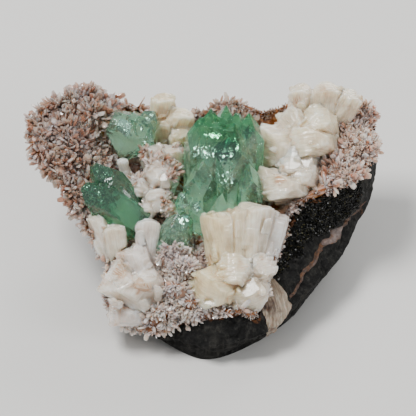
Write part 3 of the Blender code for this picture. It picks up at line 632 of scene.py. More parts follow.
def rosettes(name, root, outward, mean, longest, dice, material, each=BLADES_EACH):
    """Rosettes of thin crystals: in each they spread from one root, leaning from the outward direction at
    random. None stands inside a clear crystal, and few are rusty far up."""
    count = len(root)
    root, outward = (np.repeat(a, each, axis=0) for a in (root, outward))
    axis = unit(outward + 0.8 * dice.normal(size=root.shape))
    axis = unit(axis + np.maximum(0.1 - np.sum(axis * outward, axis=1, keepdims=True), 0) * outward * 2)
    size = np.repeat(dice.lognormal(0, 0.35, count), each)
    length = np.clip(mean * size * dice.lognormal(0, 0.3, len(root)), 0.7, longest)
    spread = 0.35 * mean * (axis - outward) * dice.random((len(root), 1))
    place = root + spread - 0.22 * length[:, None] * outward
    tip = place + axis * length[:, None]
    clear = ~in_apophyllite(place + 0.8 * outward, 0.3)
    clear &= np.all((tip > BOX_LOW - ROOM_BELOW) & (tip < BOX_HIGH + ROOM_ABOVE), axis=1) & (tip[:, 2] > 1)
    place, axis, length = place[clear], axis[clear], length[clear]
    half = length * dice.uniform(0.1, 0.22, len(place))
    thin = half * dice.uniform(0.3, 0.55, len(place))
    rust = np.clip(0.7 * crust_rust(place) + 0.3 * dice.random(len(place)) - 0.1, 0, 1)
    tone = dice.random(len(place)) + 0.35 * smooth_step(-5, -20, place[:, 1])
    size = np.stack([half, thin, length], axis=-1)
    laths(name, place, axis, size, dice, material, "druse", rust=rust, tone=tone)


def druse_pieces(grid, clear, pale):
    """Fields of rosettes on the crust, cloudier on the right, in front and in the middle. On the right and
    in front they stop at the crust's edge, and the brown wall at the back is nearly bare."""
    for index, (name, x, y, radius, count, mean, longest) in enumerate(DRUSE_FIELDS):
        dice = np.random.default_rng(SEED + index)
        root, outward = scattered(grid[5:], count, dice, (x, y, radius))
        angle = np.mod(np.degrees(np.arctan2(root[:, 1], root[:, 0])), 360)
        bare = bell(root[:, 0], root[:, 1], BARE_WALL, WALL_REACH) > 0.6 * dice.random(len(root))
        kept = (root[:, 2] > at_angle(MARGIN_HEIGHT, angle) - 0.4) | (outward[:, 2] > 0.55)
        kept = (kept | (abs(angle - BACK_MIDDLE) < BACK_REACH)) & ~bare
        root, outward = root[kept], outward[kept]
        rosettes(name, root, outward, mean, longest, dice, pale if name in PALE_FIELDS else clear)


def lip_piece(grid, material):
    """Small crystals all round the crust's lip, most of them rusty."""
    dice = np.random.default_rng(SEED)
    root, outward = scattered(grid[4:20], LIP_ROSETTES, dice, (0, 0, 90))
    rosettes("druse_lip", root, outward, LIP_MEAN, LIP_LONGEST, dice, material, LIP_BLADES_EACH)


# ---- stilbite ----
FUSE_SIZE = 0.26  # of the grid that a group's blades are fused on
CROWN_BLADES, SIDE_BLADES = 9, 4  # lesser blades to each blade
LAYER, PLATE, STRETCH = 0.9, 1.9, 6  # thickness, width and length of the low steps in a blade's surface
# How yellow each group is, from 0 white to 1 deep cream, and how much less for each millimetre to the right.
STILBITE_TONE = {
    "stilbite_back_left": (0.75, 0.0), "stilbite_middle": (0.3, 0.0), "stilbite_small_blade": (0.05, 0.0),
    "stilbite_right_back": (0.55, 0.0), "stilbite_right_middle": (0.4, 0.0), "stilbite_front": (1.0, 0.05),
    "stilbite_left_front": (0.1, 0.0), "stilbite_left_edge": (0.35, 0.0),
}
# Flat cleavage faces that shine: group, place, radius, and how deep they cut. All of them face one way.
CLEAVED = [
    ("stilbite_right_middle", (31.0, 10.1, 45.4), 3.4, 0.7),
    ("stilbite_front", (11.6, -32.7, 27.2), 4.6, 0.8),
    ("stilbite_front", (-3.0, -36.0, 22.6), 2.0, 0.8),
    ("stilbite_middle", (-18.0, 3.0, 42.7), 2.2, 0.6),
]
CLEAVED_FACING = (-0.22, -0.39, 0.895)


def edited(mesh, change):
    """Mesh after a change to it as an editable shape."""
    shape = bmesh.new()
    shape.from_mesh(mesh)
    change(shape)
    shape.to_mesh(mesh)
    shape.free()
    return mesh


def merged_copy(name):
    """Copy of a solid's mesh with its loose triangles joined at their corners."""
    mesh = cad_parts[name].data.copy()
    return edited(mesh, lambda shape: bmesh.ops.remove_doubles(shape, verts=shape.verts, dist=0.01 * MM))


def after_modifiers(mesh, *modifiers):
    """Mesh after modifiers, each a kind and its settings."""
    draft = placed("draft", mesh)
    for kind, settings in modifiers:
        modifier = draft.modifiers.new(kind.lower(), kind)
        for key, value in settings.items():
            setattr(modifier, key, value)
    made = bpy.data.meshes.new_from_object(draft.evaluated_get(bpy.context.evaluated_depsgraph_get()))
    bpy.data.objects.remove(draft)
    return made


def per_point(mesh, field):
    """Three numbers a point of a mesh as an array."""
    values = np.empty(len(mesh.vertices) * 3)
    mesh.vertices.foreach_get(field, values)
    return values.reshape(-1, 3)


def fused(name, more=None):
    """Blades of one group, with more shapes if given, fused on a fine grid and softened: the mesh, its
    points and outward directions."""
    mesh = merged_copy(name)
    if more:
        draft = new_piece("draft", *more)
        edited(mesh, lambda shape: shape.from_mesh(draft.data))
        bpy.data.objects.remove(draft)
    mesh = after_modifiers(mesh, ("REMESH", {"mode": "VOXEL", "voxel_size": FUSE_SIZE * MM}),
                           ("SMOOTH", {"factor": 0.5, "iterations": 3}))
    mesh.polygons.foreach_set("use_smooth", np.full(len(mesh.polygons), True))
    return mesh, per_point(mesh, "co") / MM, per_point(mesh, "normal")


def lesser_blades(rows, dice):
    """Smaller crystals of a stilbite group: some stand in each blade's crown, fanned out and ending near its
    top, and some lean out from its flat sides."""
    place, axis, size, side = [], [], [], []
    for root, tip, width, thickness, turn in rows:
        own = growth_frame(root, tip, turn)
        tall = math.dist(root, tip)
        for count, leaning in ((CROWN_BLADES, 0), (SIDE_BLADES, 1)):
            across = dice.uniform(-0.42, 0.42, count) * width
            through = dice.uniform(-0.3, 0.3, count) * thickness
            way = np.where(dice.random(count) < 0.7, -1, 1) * leaning
            slope = way * dice.uniform(0.05, 0.25, count)
            lean = np.stack([across / width * 0.8, slope, np.ones(count)], axis=-1)
            lean = unit(lean + 0.06 * dice.normal(size=(count, 3)))
            long = dice.uniform(4.0, 6.5, count) * (1 - 0.25 * leaning)
            end = tall + dice.uniform(-0.5, 0.6, count) - leaning * dice.uniform(0.1, 0.5, count) * tall
            top = np.stack([across, through + way * 0.42 * thickness, end], axis=-1)
            place.append(root + (top - lean * long[:, None]) @ own)
            axis.append(lean @ own)
            half, thin = dice.uniform(0.8, 1.9, count), dice.uniform(0.4, 0.9, count)
            size.append(np.stack([half, thin, long], axis=-1))
            side.append(np.tile(own[0], (count, 1)))
    return lath_shapes(*(np.concatenate(part) for part in (place, axis, size, side)))


def fan_piece(name, points, mesh, material):
    """Low fans under the druse at the front: only a ground for the rosettes that cover them."""
    set_numbers(mesh, {"rust": crust_rust(points), "tone": 0 * points[:, 0] + 0.4})
    finished(placed(name + "_ground", mesh), material, "druse", name)


def overgrowth(points, outward, count, mean, longest, name, material):
    """Rosettes on the upper side of a fused group."""
    dice = np.random.default_rng(SEED)
    chosen = dice.choice(np.flatnonzero(outward[:, 2] > 0.1), count)
    rosettes(name, points[chosen], outward[chosen], mean, longest, dice, material)


def blade_numbers(name, rows, points, outward, dice):
    """For each point of a group: its place in the frame of the blade it belongs to, the numbers crease, high
    where two blades meet, and crown, high at a blade's top, and its tone. It belongs to the blade whose
    middle is the fewest of the blade's own half sizes away."""
    best = np.full(len(points), 99.0)
    second, local, crown, tone = best.copy(), np.zeros_like(points), best.copy(), best.copy()
    for index, (root, tip, width, thickness, turn) in enumerate(rows):
        own = growth_frame(root, tip, turn)
        place = (points - root) @ own.T
        half = [width / 2, thickness / 2, math.dist(root, tip) / 2]
        reach = np.max(np.abs(place - [0, 0, half[2]]) / half, axis=1)
        nearer = reach < best
        second = np.where(nearer, best, np.minimum(second, reach))
        best = np.where(nearer, reach, best)
        local[nearer] = place[nearer] + 37.0 * index
        crown[nearer] = np.abs(outward[nearer] @ own[2])
        tone[nearer] = STILBITE_TONE[name][0] + dice.normal(0, 0.07)
    tone -= STILBITE_TONE[name][1] * points[:, 0]
    return local, smooth_step(0.16, 0.0, second - best), smooth_step(0.45, 0.85, crown), tone


def cut_down(name, points):
    """Points of a group, those that stand over one of its cleavage faces moved down to it."""
    facing = unit(np.array(CLEAVED_FACING))
    for group, middle, radius, depth in CLEAVED:
        if group == name:
            over = (points - middle) @ facing + depth
            near = np.linalg.norm(points - middle, axis=1) < radius
            points = points - np.where(near & (over > 0), over, 0)[:, None] * facing
    return points


def stilbite_piece(name, rows, material):
    """One group of stilbite with its lesser blades: each point of the fused blades moves along its outward
    direction. Ridges of noise and low steps run along the flat sides of its blade, thin layers end at uneven
    heights in the crown, broad swells go over the whole, and the groove where two blades meet is filled. The
    UV pair is the place across and along the blade, and in its crown the place through and across."""
    dice = np.random.default_rng(sum(map(ord, name)))
    mesh, points, outward = fused(name, lesser_blades(rows, dice))
    local, crease, crown, tone = blade_numbers(name, rows, points, outward, dice)
    striae = fractal(local * [1, 0.4, 0.08], 1.5, 11, 3)
    layer = np.floor(local[:, 1] / LAYER + 0.6 * value_noise(local, 3.0, 15))
    plate = np.floor(local[:, 0] / PLATE + 0.7 * value_noise(local * [1, 1, 0.3], 4.0, 17))
    along = np.floor(local[:, 2] / STRETCH + 0.5 * plate)
    steps = hashed(np.stack([layer, plate // 3, 0 * layer], axis=-1).astype(np.int64), 25)
    sides = hashed(np.stack([plate, along, 0 * layer], axis=-1).astype(np.int64), 27)
    rise = 0.1 + 0.7 * crease + (0.14 * striae + 0.32 * (sides - 0.5)) * (1 - crown)
    rise = rise + 0.22 * (steps - 0.5) * crown + 0.3 * value_noise(points, 4.5, 31)
    points = cut_down(name, points + outward * rise[:, None])
    mesh.vertices.foreach_set("co", (points * MM).ravel())
    stain = smooth_step(0.45, 1.0, fractal(points, 6, 131, 3) + 0.4 * crease)
    set_numbers(mesh, {"tone": tone, "stain": stain, "crease": crease})
    corner = np.empty(len(mesh.loops), np.int32)
    mesh.loops.foreach_get("vertex_index", corner)
    across = local[:, 0] * (1 - crown) + local[:, 1] * crown
    along = local[:, 2] * (1 - crown) + local[:, 0] * crown
    uv = np.stack([across, along], axis=-1)[corner]
    mesh.uv_layers.new(name="UVMap").data.foreach_set("uv", uv.astype(np.float32).ravel())
    mesh.update()
    finished(placed(name + "_sheaves", mesh), material, "stilbite", name)


# ---- clear crystals ----
BEVEL_WIDTH = 0.22
ONE_FACE, SHARP = math.radians(0.5), math.radians(12)  # joined below the first, bevelled above the second


def apophyllite_piece(name, material):
    """Clear crystals: the solid's flat faces, each made one face again, with narrow bevels that catch the
    light."""
    mesh = edited(merged_copy(name), lambda shape: bmesh.ops.dissolve_limit(
        shape, angle_limit=ONE_FACE, verts=shape.verts, edges=shape.edges))
    mesh = after_modifiers(mesh, ("BEVEL", {"width": BEVEL_WIDTH * MM, "segments": 2, "limit_method": "ANGLE",
                                            "angle_limit": SHARP}))
    finished(placed(name + "_crystals", mesh), material, "apophyllite", name)


# Nests of flat cracks inside them, side by side like a broken pane: middle, direction the pane faces, its
# reach to either side and up, how many, mean size, tilt of a crack out of the pane, and how many of a hundred
# are dark, their colour painted shade that stands for a mirrored dark.
CLEAVAGE = [
    ((1.8, 5.6, 52.6), (-0.16, -0.5, 0.85), (3.4, 2.6), 300, 1.15, 0.14, 80),
    ((-5.4, 7.9, 49.1), (-0.25, -0.48, 0.84), (1.9, 1.6), 130, 0.75, 0.07, 10),
    ((6.6, 8.4, 54.4), (-0.17, -0.5, 0.85), (0.9, 2.6), 30, 1.0, 0.05, 5),
    ((10.6, 14.2, 53.6), (-0.19, -0.48, 0.85), (1.1, 1.6), 40, 0.7, 0.16, 80),
    ((-1.0, 10.6, 55.6), (-0.25, -0.48, 0.84), (3.2, 0.5), 30, 0.8, 0.05, 10),
    ((2.0, 1.0, 44.0), (-0.16, -0.54, 0.83), (4.5, 4.0), 60, 0.6, 0.25, 10),
    ((-11.8, -2.2, 40.2), (-0.1, -0.42, 0.9), (1.6, 1.9), 110, 0.4, 0.2, 45),
    ((-7.4, -5.0, 37.0), (-0.1, -0.51, 0.86), (1.5, 1.8), 90, 0.4, 0.15, 25),
    ((-10.8, -8.6, 36.1), (-0.15, -0.36, 0.92), (2.3, 3.2), 300, 1.1, 0.05, 12),
    ((-30.4, 17.0, 50.0), (0.2, -0.51, 0.84), (2.9, 2.4), 330, 1.1, 0.12, 10),
    ((-24.0, 21.8, 51.2), (0.01, -0.73, 0.69), (1.8, 2.2), 220, 1.0, 0.12, 10),
    ((-43.0, -2.2, 41.8), (-0.2, -0.4, 0.88), (2.8, 3.2), 120, 0.48, 0.25, 75),
    ((-38.6, 4.2, 43.6), (0.1, -0.35, 0.92), (2.6, 3.2), 100, 0.48, 0.25, 75),
]
RIM = 6  # points round a crack
CRACK_HALF = 0.02  # half thickness of a crack


def cleavage_piece(material):
    """Flat cracks inside the clear crystals: each is a thin lens with an angular rim whose radius varies from
    point to point. The number shade is the same all over one crack, 0 dark to 1 bright; it sets the mirror's
    colour, and the dark cracks are painted shade."""
    dice = np.random.default_rng(SEED)
    rows = []
    for middle, pane, (wide, high), count, mean, tilt, dark in CLEAVAGE:
        pane = unit(np.array(pane))
        right = unit(np.cross([0, 1, 1], pane))
        flat = dice.normal(size=(count, 2)) * (0.6 * wide, 0.6 * high)
        depth = 0.35 * dice.normal(size=(count, 1))
        place = np.array(middle) + flat[:, :1] * right + flat[:, 1:] * np.cross(pane, right) + depth * pane
        facing = unit(pane + tilt * dice.normal(size=(count, 3)))
        size = mean * dice.lognormal(0, 0.4, count)
        chance = dice.random(count) * 100
        # painted shade: a share of the cracks get a dark mirror colour that stands for a mirrored dark
        shade = np.where(chance < dark, dice.uniform(0, 0.3, count), dice.uniform(0.55, 1, count))
        rows.append((place, facing, size, shade))
    place, facing, size, shade = (np.concatenate(column) for column in zip(*rows))
    kept = in_apophyllite(place, -0.5 * size - 0.3)
    place, facing, size, shade = place[kept], facing[kept], size[kept], shade[kept]
    side = unit(np.cross(facing, dice.normal(size=facing.shape)))
    over = np.cross(facing, side)
    angle = np.linspace(0, 2 * math.pi, RIM, endpoint=False)
    reach = size[:, None] * dice.uniform(0.45, 1.0, (len(place), RIM))
    rim = (reach * np.cos(angle))[..., None] * side[:, None]
    rim = rim + 0.6 * (reach * np.sin(angle))[..., None] * over[:, None]
    ends = np.stack([facing, -facing], axis=1) * CRACK_HALF
    points = (place[:, None] + np.concatenate([rim, ends], axis=1)).reshape(-1, 3)
    turn = np.arange(RIM)
    top = np.stack([turn, (turn + 1) % RIM, np.full(RIM, RIM)], axis=-1)
    under = np.stack([(turn + 1) % RIM, turn, np.full(RIM, RIM + 1)], axis=-1)
    step = np.arange(len(place))[:, None, None] * (RIM + 2)
    triangles = (np.concatenate([top, under])[None] + step).reshape(-1, 3)
    piece = new_piece("apophyllite_cleavage", points, np.zeros((0, 4), np.int64), triangles, smooth=False,
                      shade=np.repeat(shade, RIM + 2))
    finished(piece, material, "apophyllite")


# ---- vein and wedge ----
VEIN_ROWS, WEDGE_ROWS = 220, 90
CORNER_RADIUS = 39  # of the rock at the wedge, which turns its degrees to millimetres


def band_piece(name, angle, height, half, proud, material, slot, node, columns=28, ridges=0.15, stain=0.0):
    """Band on the rock's side: rows follow a path of angle and height, columns cross it. The section is a
    low arch of cosine shape with a relief of noise, its edges sunk in the rock, and a flat inside closes it.
    The number rust is high at its edges and where the stain is."""
    across = np.linspace(-1, 1, columns)[None, :]
    path = on_ray(angle, wall_radius(angle, height), height)
    along = unit(np.gradient(path, axis=0))
    out = on_ray(angle, np.ones_like(angle), 0 * height)
    sideways = unit(np.cross(out, along))
    spot = path[:, None] + (half[:, None] * across)[..., None] * sideways[:, None]
    turn, z = np.degrees(np.arctan2(spot[..., 1], spot[..., 0])), spot[..., 2]
    bend = np.cos(across * math.pi / 2)
    arch = proud[:, None] * bend**0.6 - 0.45 * (1 - bend)
    rays = on_ray(turn, np.ones_like(turn), 0 * turn)
    outer = rock_point(turn, z) + rays * (arch + ridges * fractal(spot, 1.3, 141, 3) * bend)[..., None]
    grid = np.concatenate([outer, spot[:, ::-1] - rays[:, ::-1] * 2.5], axis=1)
    edge = np.broadcast_to(np.abs(np.concatenate([across, across[:, ::-1]], axis=1)), grid.shape[:2])
    uv = np.stack([np.broadcast_to(np.concatenate([across, across], axis=1), edge.shape) * half[:, None],
                   np.broadcast_to(np.arange(len(grid))[:, None] * 0.3, edge.shape)], axis=-1)
    rust = with_poles((edge + np.reshape(stain, (-1, 1)))[..., None])[:, 0]
    piece = tube_piece(name, with_poles(grid), 2 * columns, uv=with_poles(uv), rust=rust)
    finished(piece, material, slot, node)


def vein_piece(material):
    """Vein: a band whose path is straight between the rows of the table and wavers a little. Where it is
    thin it is drawn thinner than the table says."""
    rows = [(r[0] - 360.0 if r[0] > 180 else float(r[0]), r[1], r[2]) for r in VEIN]
    steps = np.linspace(0, len(VEIN) - 1, VEIN_ROWS)
    angle, height, half = (np.interp(steps, np.arange(len(VEIN)), column) for column in zip(*rows))
    waver = on_ray(angle, 40.0, height)
    height = height + 0.3 * fractal(waver, 5, 151, 2)
    half = half * (0.45 + 0.27 * half) * (1 + 0.3 * fractal(waver, 2.5, 161, 2))
    band_piece("vein_band", angle[::-1], height[::-1], half[::-1], 0.3 + 0 * half, material, "vein", "vein",
               stain=smooth_step(1.3, 0.5, half)[::-1])


def wedge_piece(material):
    """Fibrous wedge: a band down the rock's corner, its edges wavering, with a stronger relief than the
    vein's."""
    steps = np.linspace(0, len(WEDGE) - 1, WEDGE_ROWS)
    height, angle, half, bulge = (np.interp(steps, np.arange(len(WEDGE)), column) for column in zip(*WEDGE))
    half = np.radians(half) * CORNER_RADIUS * (1 + 0.2 * fractal(on_ray(angle, 40.0, height), 3, 171, 2))
    band_piece("fibrous_wedge_band", angle[::-1], height[::-1], half[::-1], (bulge + 0.25)[::-1], material,
               "wedge", "fibrous_wedge", columns=60, ridges=0.35)


# ---- materials ----
def linear(hex_colour):
    """Linear red, green, blue and alpha from an sRGB hex value."""
    channels = [int(hex_colour[i:i + 2], 16) / 255 for i in (1, 3, 5)]
    return (*[c / 12.92 if c <= 0.04045 else ((c + 0.055) / 1.055) ** 2.4 for c in channels], 1.0)


def add(tree, kind, *values, stops=(), **given):
    """Adds a node. The values fill its inputs in order. A name with a capital is an input too, and any other
    is a setting. An input gets a value, a hex colour, another node's output, or another node, which stands
    for its first output. Stops are a colour ramp's positions and hex colours."""
    made = tree.nodes.new("ShaderNode" + kind)
    inputs = dict(enumerate(values))
    for key, value in given.items():
        if key[0].isupper():
            inputs[key] = value
        else:
            setattr(made, key, value)
    for key, value in inputs.items():
        if isinstance(value, bpy.types.Node):
            value = value.outputs[0]
        if isinstance(value, bpy.types.NodeSocket):
            tree.links.new(value, made.inputs[key])
        else:
            made.inputs[key].default_value = linear(value) if isinstance(value, str) else value
    for index, (position, colour) in enumerate(stops):
        points = made.color_ramp.elements
        point = points[index] if index < len(points) else points.new(position)
        point.position, point.color = position, linear(colour)
    return made


def new_material(name, roughness, colour="#cccccc", **surface):
    """Material with its Principled node's constant values set: the material, a function that adds a node to
    it, and its coordinates."""
    material = bpy.data.materials.new(name)
    material.use_nodes = True
    shader = material.node_tree.nodes["Principled BSDF"]
    shader.inputs["Roughness"].default_value = roughness
    shader.inputs["Base Color"].default_value = linear(colour)
    for key, value in surface.items():
        shader.inputs[key.replace("_", " ")].default_value = value
    node = functools.partial(add, material.node_tree)
    return material, node, node("TexCoord").outputs


def covered(material, **nodes):
    """Material with nodes linked to inputs of its Principled node."""
    tree = material.node_tree
    for key, node in nodes.items():
        tree.links.new(node.outputs[0], tree.nodes["Principled BSDF"].inputs[key.replace("_", " ")])
    return material


def basalt_material():
    """Basalt, broken: fine-grained and nearly black, dull on the plain parts, glossy greenish black where gas
    bubbles opened, with small bright olive specks in that colour which are painted glints, and brown where
    iron has stained it. Its grain, about 1 mm, and the fine grey lines down the sides are drawn coarse to
    show."""
    material, node, spots = new_material("basalt_broken", 0.6, Specular_IOR_Level=0.25)
    broken = node("Attribute", attribute_name="broken").outputs["Fac"]
    rust = node("Attribute", attribute_name="rust").outputs["Fac"]
    cloud = node("TexNoise", Vector=spots["Object"], Scale=160.0, Detail=6.0, Roughness=0.6)
    grain = node("TexNoise", Vector=spots["Object"], Scale=1100.0, Detail=4.0, Roughness=0.65)
    blobs = node("TexNoise", Vector=spots["Object"], Scale=420.0, Detail=5.0, Roughness=0.7)
    drawn = node("Mapping", Vector=spots["Object"], Scale=(1.0, 1.0, 0.2))
    lines = node("TexNoise", Vector=drawn, Scale=650.0, Detail=4.0, Roughness=0.65)
    plain = node("ValToRGB", cloud,
                 stops=[(0.32, "#040403"), (0.5, "#0c0b0a"), (0.62, "#171613"), (0.74, "#2c2a27")])
    plain = node("MixRGB", node("MapRange", lines, 0.5, 0.7, 0.0, 0.65), plain, "#3a3834")
    # painted glints: the brightest olive stop gives small bright specks in the bubbly part's colour
    bubbly_with_painted_glints = node("ValToRGB", blobs,
               stops=[(0.42, "#010100"), (0.52, "#0b0a07"), (0.6, "#242017"), (0.7, "#5e5a48")])
    brown = node("ValToRGB", cloud, stops=[(0.35, "#2a170b"), (0.55, "#573216"), (0.7, "#7e5028")])
    amount = node("Math", rust, node("MapRange", grain, 0.38, 0.58), operation="MULTIPLY")
    stain = node("MapRange", amount, 0.15, 0.6)
    colour = node("MixRGB", stain, node("MixRGB", broken, plain, bubbly_with_painted_glints), brown)
    dull = node("MapRange", grain, 0.35, 0.65, 0.95, 0.65)
    gloss = node("MapRange", broken, 0.0, 1.0, 1.0, 0.22)
    rough = node("Math", dull, gloss, operation="MULTIPLY")
    first = node("Bump", Height=cloud, Distance=0.4 * MM)
    second = node("Bump", Height=grain, Distance=0.35 * MM, Normal=first)
    third = node("Bump", Height=lines, Distance=0.2 * MM, Normal=second)
    return covered(material, Base_Color=colour, Roughness=rough, Normal=third)


def dark_crystal_material():
    """Lining of the gas bubbles: crystals so dark green that they look black, glossy as glass; the palest few
    are coloured olive, a painted shine."""
    material, node, _ = new_material("bubble_lining", 0.2, Specular_IOR_Level=0.35)
    tone = node("Attribute", attribute_name="tone").outputs["Fac"]
    # painted glints: the top stops colour the palest crystals olive as a shine
    colour = node("ValToRGB", tone,
                  stops=[(0.5, "#020201"), (0.8, "#0c0b07"), (0.95, "#2b2819"), (1.0, "#4d4930")])
    return covered(material, Base_Color=colour)


def druse_material(name, clear, clean_below, brown_above):
    """Druse: small crystals of colourless to pale lilac zeolite, glassy and a little clouded. Iron stains
    their feet brown, and some of them nearly to the tip: a spot is clean where rust less its share of the
    crystal's height is under clean_below, and brown where it is over brown_above."""
    material, node, spots = new_material(
        name, 0.08, Transmission_Weight=clear, IOR=1.5, Subsurface_Weight=0.7, Subsurface_Scale=2.5 * MM,
        Subsurface_Radius=(1.0, 0.7, 0.6), Coat_Weight=0.5, Coat_Roughness=0.04)
    tone = node("Attribute", attribute_name="tone").outputs["Fac"]
    rust = node("Attribute", attribute_name="rust").outputs["Fac"]
    up = node("Attribute", attribute_name="up").outputs["Fac"]
    cloud = node("TexNoise", Vector=spots["Object"], Scale=130.0, Detail=4.0, Roughness=0.6)
    fine = node("TexNoise", Vector=spots["Object"], Scale=600.0, Detail=3.0, Roughness=0.6)
    pale = node("ValToRGB", tone,
                stops=[(0.0, "#b98f78"), (0.35, "#e6cec0"), (0.7, "#faefe8"), (1.0, "#ffffff")])
    tint = node("ValToRGB", cloud, stops=[(0.4, "#f1dedb"), (0.6, "#fdeee0")])
    clean = node("MixRGB", 1.0, pale, tint, blend_type="MULTIPLY")
    iron = node("ValToRGB", fine, stops=[(0.3, "#4d2a14"), (0.5, "#8f5529"), (0.7, "#c08a58")])
    level = node("Math", rust, up, operation="SUBTRACT")
    colour = node("MixRGB", node("MapRange", level, clean_below, brown_above), clean, iron)
    bump = node("Bump", Height=fine, Distance=0.08 * MM, Strength=0.6)
    return covered(material, Base_Color=colour, Normal=bump)


def stilbite_material():
    """Stilbite: cream to white zeolite in sheaves, pearly on its flat sides, letting light a few millimetres
    in. Growth lines 0.4 mm apart run along each blade, their low parts drawn darker as painted shade in the
    grooves; the creases where blades meet are all drawn a little darker as painted shade, and iron has
    browned some of the creases."""
    material, node, spots = new_material(
        "stilbite_pearly", 0.2, Subsurface_Weight=0.85, Coat_Weight=0.6, Subsurface_Scale=6.5 * MM,
        Subsurface_Radius=(1.0, 0.8, 0.65), Coat_Roughness=0.08)
    tone = node("Attribute", attribute_name="tone").outputs["Fac"]
    stain = node("Attribute", attribute_name="stain").outputs["Fac"]
    crease = node("Attribute", attribute_name="crease").outputs["Fac"]
    along = node("Mapping", Vector=spots["UV"], Scale=(1.0, 0.06, 1.0))
    lines = node("TexNoise", Vector=along, Scale=2.4, Detail=4.0, Roughness=0.6)
    cloud = node("TexNoise", Vector=spots["Object"], Scale=170.0, Detail=4.0, Roughness=0.55)
    white = node("ValToRGB", cloud, stops=[(0.3, "#cbc1ba"), (0.5, "#e6dfd9"), (0.7, "#fbf8f5")])
    cream = node("ValToRGB", cloud, stops=[(0.3, "#d3c096"), (0.5, "#eedfb9"), (0.7, "#fbf1d6")])
    body = node("MixRGB", tone, white, cream)
    # painted shade: the growth lines' low parts, the grooves of the bump, are drawn darker
    painted_groove_shade = node("MapRange", lines, 0.62, 0.4, 0.0, 0.3)
    lined = node("MixRGB", painted_groove_shade, body, "#b8a78f", blend_type="MULTIPLY")
    # painted shade: every crease where two blades meet is drawn a little darker
    deep = node("Math", crease, 0.2, operation="MULTIPLY")
    with_painted_crease_shade = node("MixRGB", deep, lined, "#a58a68", blend_type="MULTIPLY")
    patchy = node("MapRange", lines, 0.42, 0.58, 0.0, 0.8)
    amount = node("Math", stain, patchy, operation="MULTIPLY")
    colour = node("MixRGB", amount, with_painted_crease_shade, "#b07a40")
    bump = node("Bump", Height=lines, Distance=0.3 * MM, Strength=0.6)
    return covered(material, Base_Color=colour, Normal=bump)


# Kinds of apophyllite: name, haze, highest tips, whose deeper colour is painted reflection standing for the
# dark mirrored on the flat tops, how clear, depth of its green, growth axis, height of its lines.
GREENS = [
    ("mint", "#ccffe6", "#66cc90", 0.94, 12.0, (-0.05, -0.1, 1), 0.04),
    ("pale_green", "#ccffe6", "#ccffe6", 0.91, 11.0, (0, -0.5, 0.86), 0.03),
    ("deep_green", "#90c4a8", "#90c4a8", 0.9, 52.0, (-0.7, 0.25, 0.65), 0.08),
]


def apophyllite_material(name, haze, tip, clear, depth, axis, lines):
    """Apophyllite, green: clear as glass, with an index of 1.535 and a little haze, deeper green at the
    highest tips, which is painted reflection: it stands for the dark mirrored on the flat tops. Its green
    comes mostly from absorption, so thick parts are deeper than thin edges. Fine growth lines run along the
    crystal's axis, and each face is a mosaic of flat growth patches, 4 mm and 1.5 mm wide, every one tilted
    two or three degrees its own way."""
    material, node, spots = new_material(name, 0.02, haze, Transmission_Weight=clear, IOR=1.535)
    spot = spots["Object"]
    axis = unit(np.array(axis))
    reach = node("VectorMath", spot, axis, operation="DOT_PRODUCT").outputs["Value"]
    drawn = node("VectorMath", axis * 0.95, Scale=reach, operation="SCALE")
    across = node("VectorMath", spot, drawn, operation="SUBTRACT")
    grain = node("TexNoise", Vector=across, Scale=1000.0, Detail=3.0)
    height = node("Bump", Height=grain, Distance=lines * MM)
    for scale, distance in ((260.0, 0.12), (700.0, 0.08)):
        cells = node("TexVoronoi", Vector=spot, Scale=scale).outputs
        slope = node("VectorMath", cells["Color"], (0.5, 0.5, 0.5), operation="SUBTRACT")
        apart_by = node("VectorMath", spot, cells["Position"], operation="SUBTRACT")
        lean = node("VectorMath", slope, apart_by, operation="DOT_PRODUCT").outputs["Value"]
        height = node("Bump", Height=lean, Distance=distance, Normal=height)
    # painted reflection: above 52 mm the colour turns to the tip colour, a darker band standing for the dark
    # mirrored on the flat tops
    high = node("MapRange", node("SeparateXYZ", spot).outputs["Z"], 52 * MM, 57 * MM)
    inside = node("VolumeAbsorption", Color="#54dcaa", Density=depth)
    tree = material.node_tree
    tree.links.new(inside.outputs[0], tree.nodes["Material Output"].inputs["Volume"])
    return covered(material, Base_Color=node("MixRGB", high, haze, tip), Normal=height)


def cleavage_material():
    """Cleavage in apophyllite: a flat crack mirrors what is above it. Its colour, by the number shade, runs
    from nearly black green, painted shade standing for a mirrored dark, to silver, which mirrors the light."""
    material, node, _ = new_material("apophyllite_cleavage", 0.12, Metallic=1.0)
    shade = node("Attribute", attribute_name="shade").outputs["Fac"]
    # painted shade: the dark stops stand for a mirrored dark, and the white stop is a plain mirror
    colour = node("ValToRGB", shade, stops=[(0.0, "#020c0d"), (0.4, "#37605a"), (0.8, "#ffffff")])
    return covered(material, Base_Color=colour)


def vein_material():
    """Vein filling: fine pinkish zeolite, waxy, with iron along its edges."""
    material, node, spots = new_material("vein_zeolite", 0.45, Subsurface_Weight=0.15,
                                         Subsurface_Scale=1 * MM)
    rust = node("Attribute", attribute_name="rust").outputs["Fac"]
    fine = node("TexNoise", Vector=spots["Object"], Scale=700.0, Detail=5.0, Roughness=0.65)
    pink = node("ValToRGB", fine, stops=[(0.3, "#4a3b36"), (0.5, "#6e5e58"), (0.7, "#93857f")])
    iron = node("ValToRGB", fine, stops=[(0.3, "#170e08"), (0.5, "#3f2716"), (0.7, "#6b4527")])
    edge = node("Math", rust, node("MapRange", fine, 0.3, 0.7, -0.3, 0.5), operation="ADD")
    colour = node("MixRGB", node("MapRange", edge, 0.4, 0.8), pink, iron)
    return covered(material, Base_Color=colour, Normal=node("Bump", Height=fine, Distance=0.3 * MM))


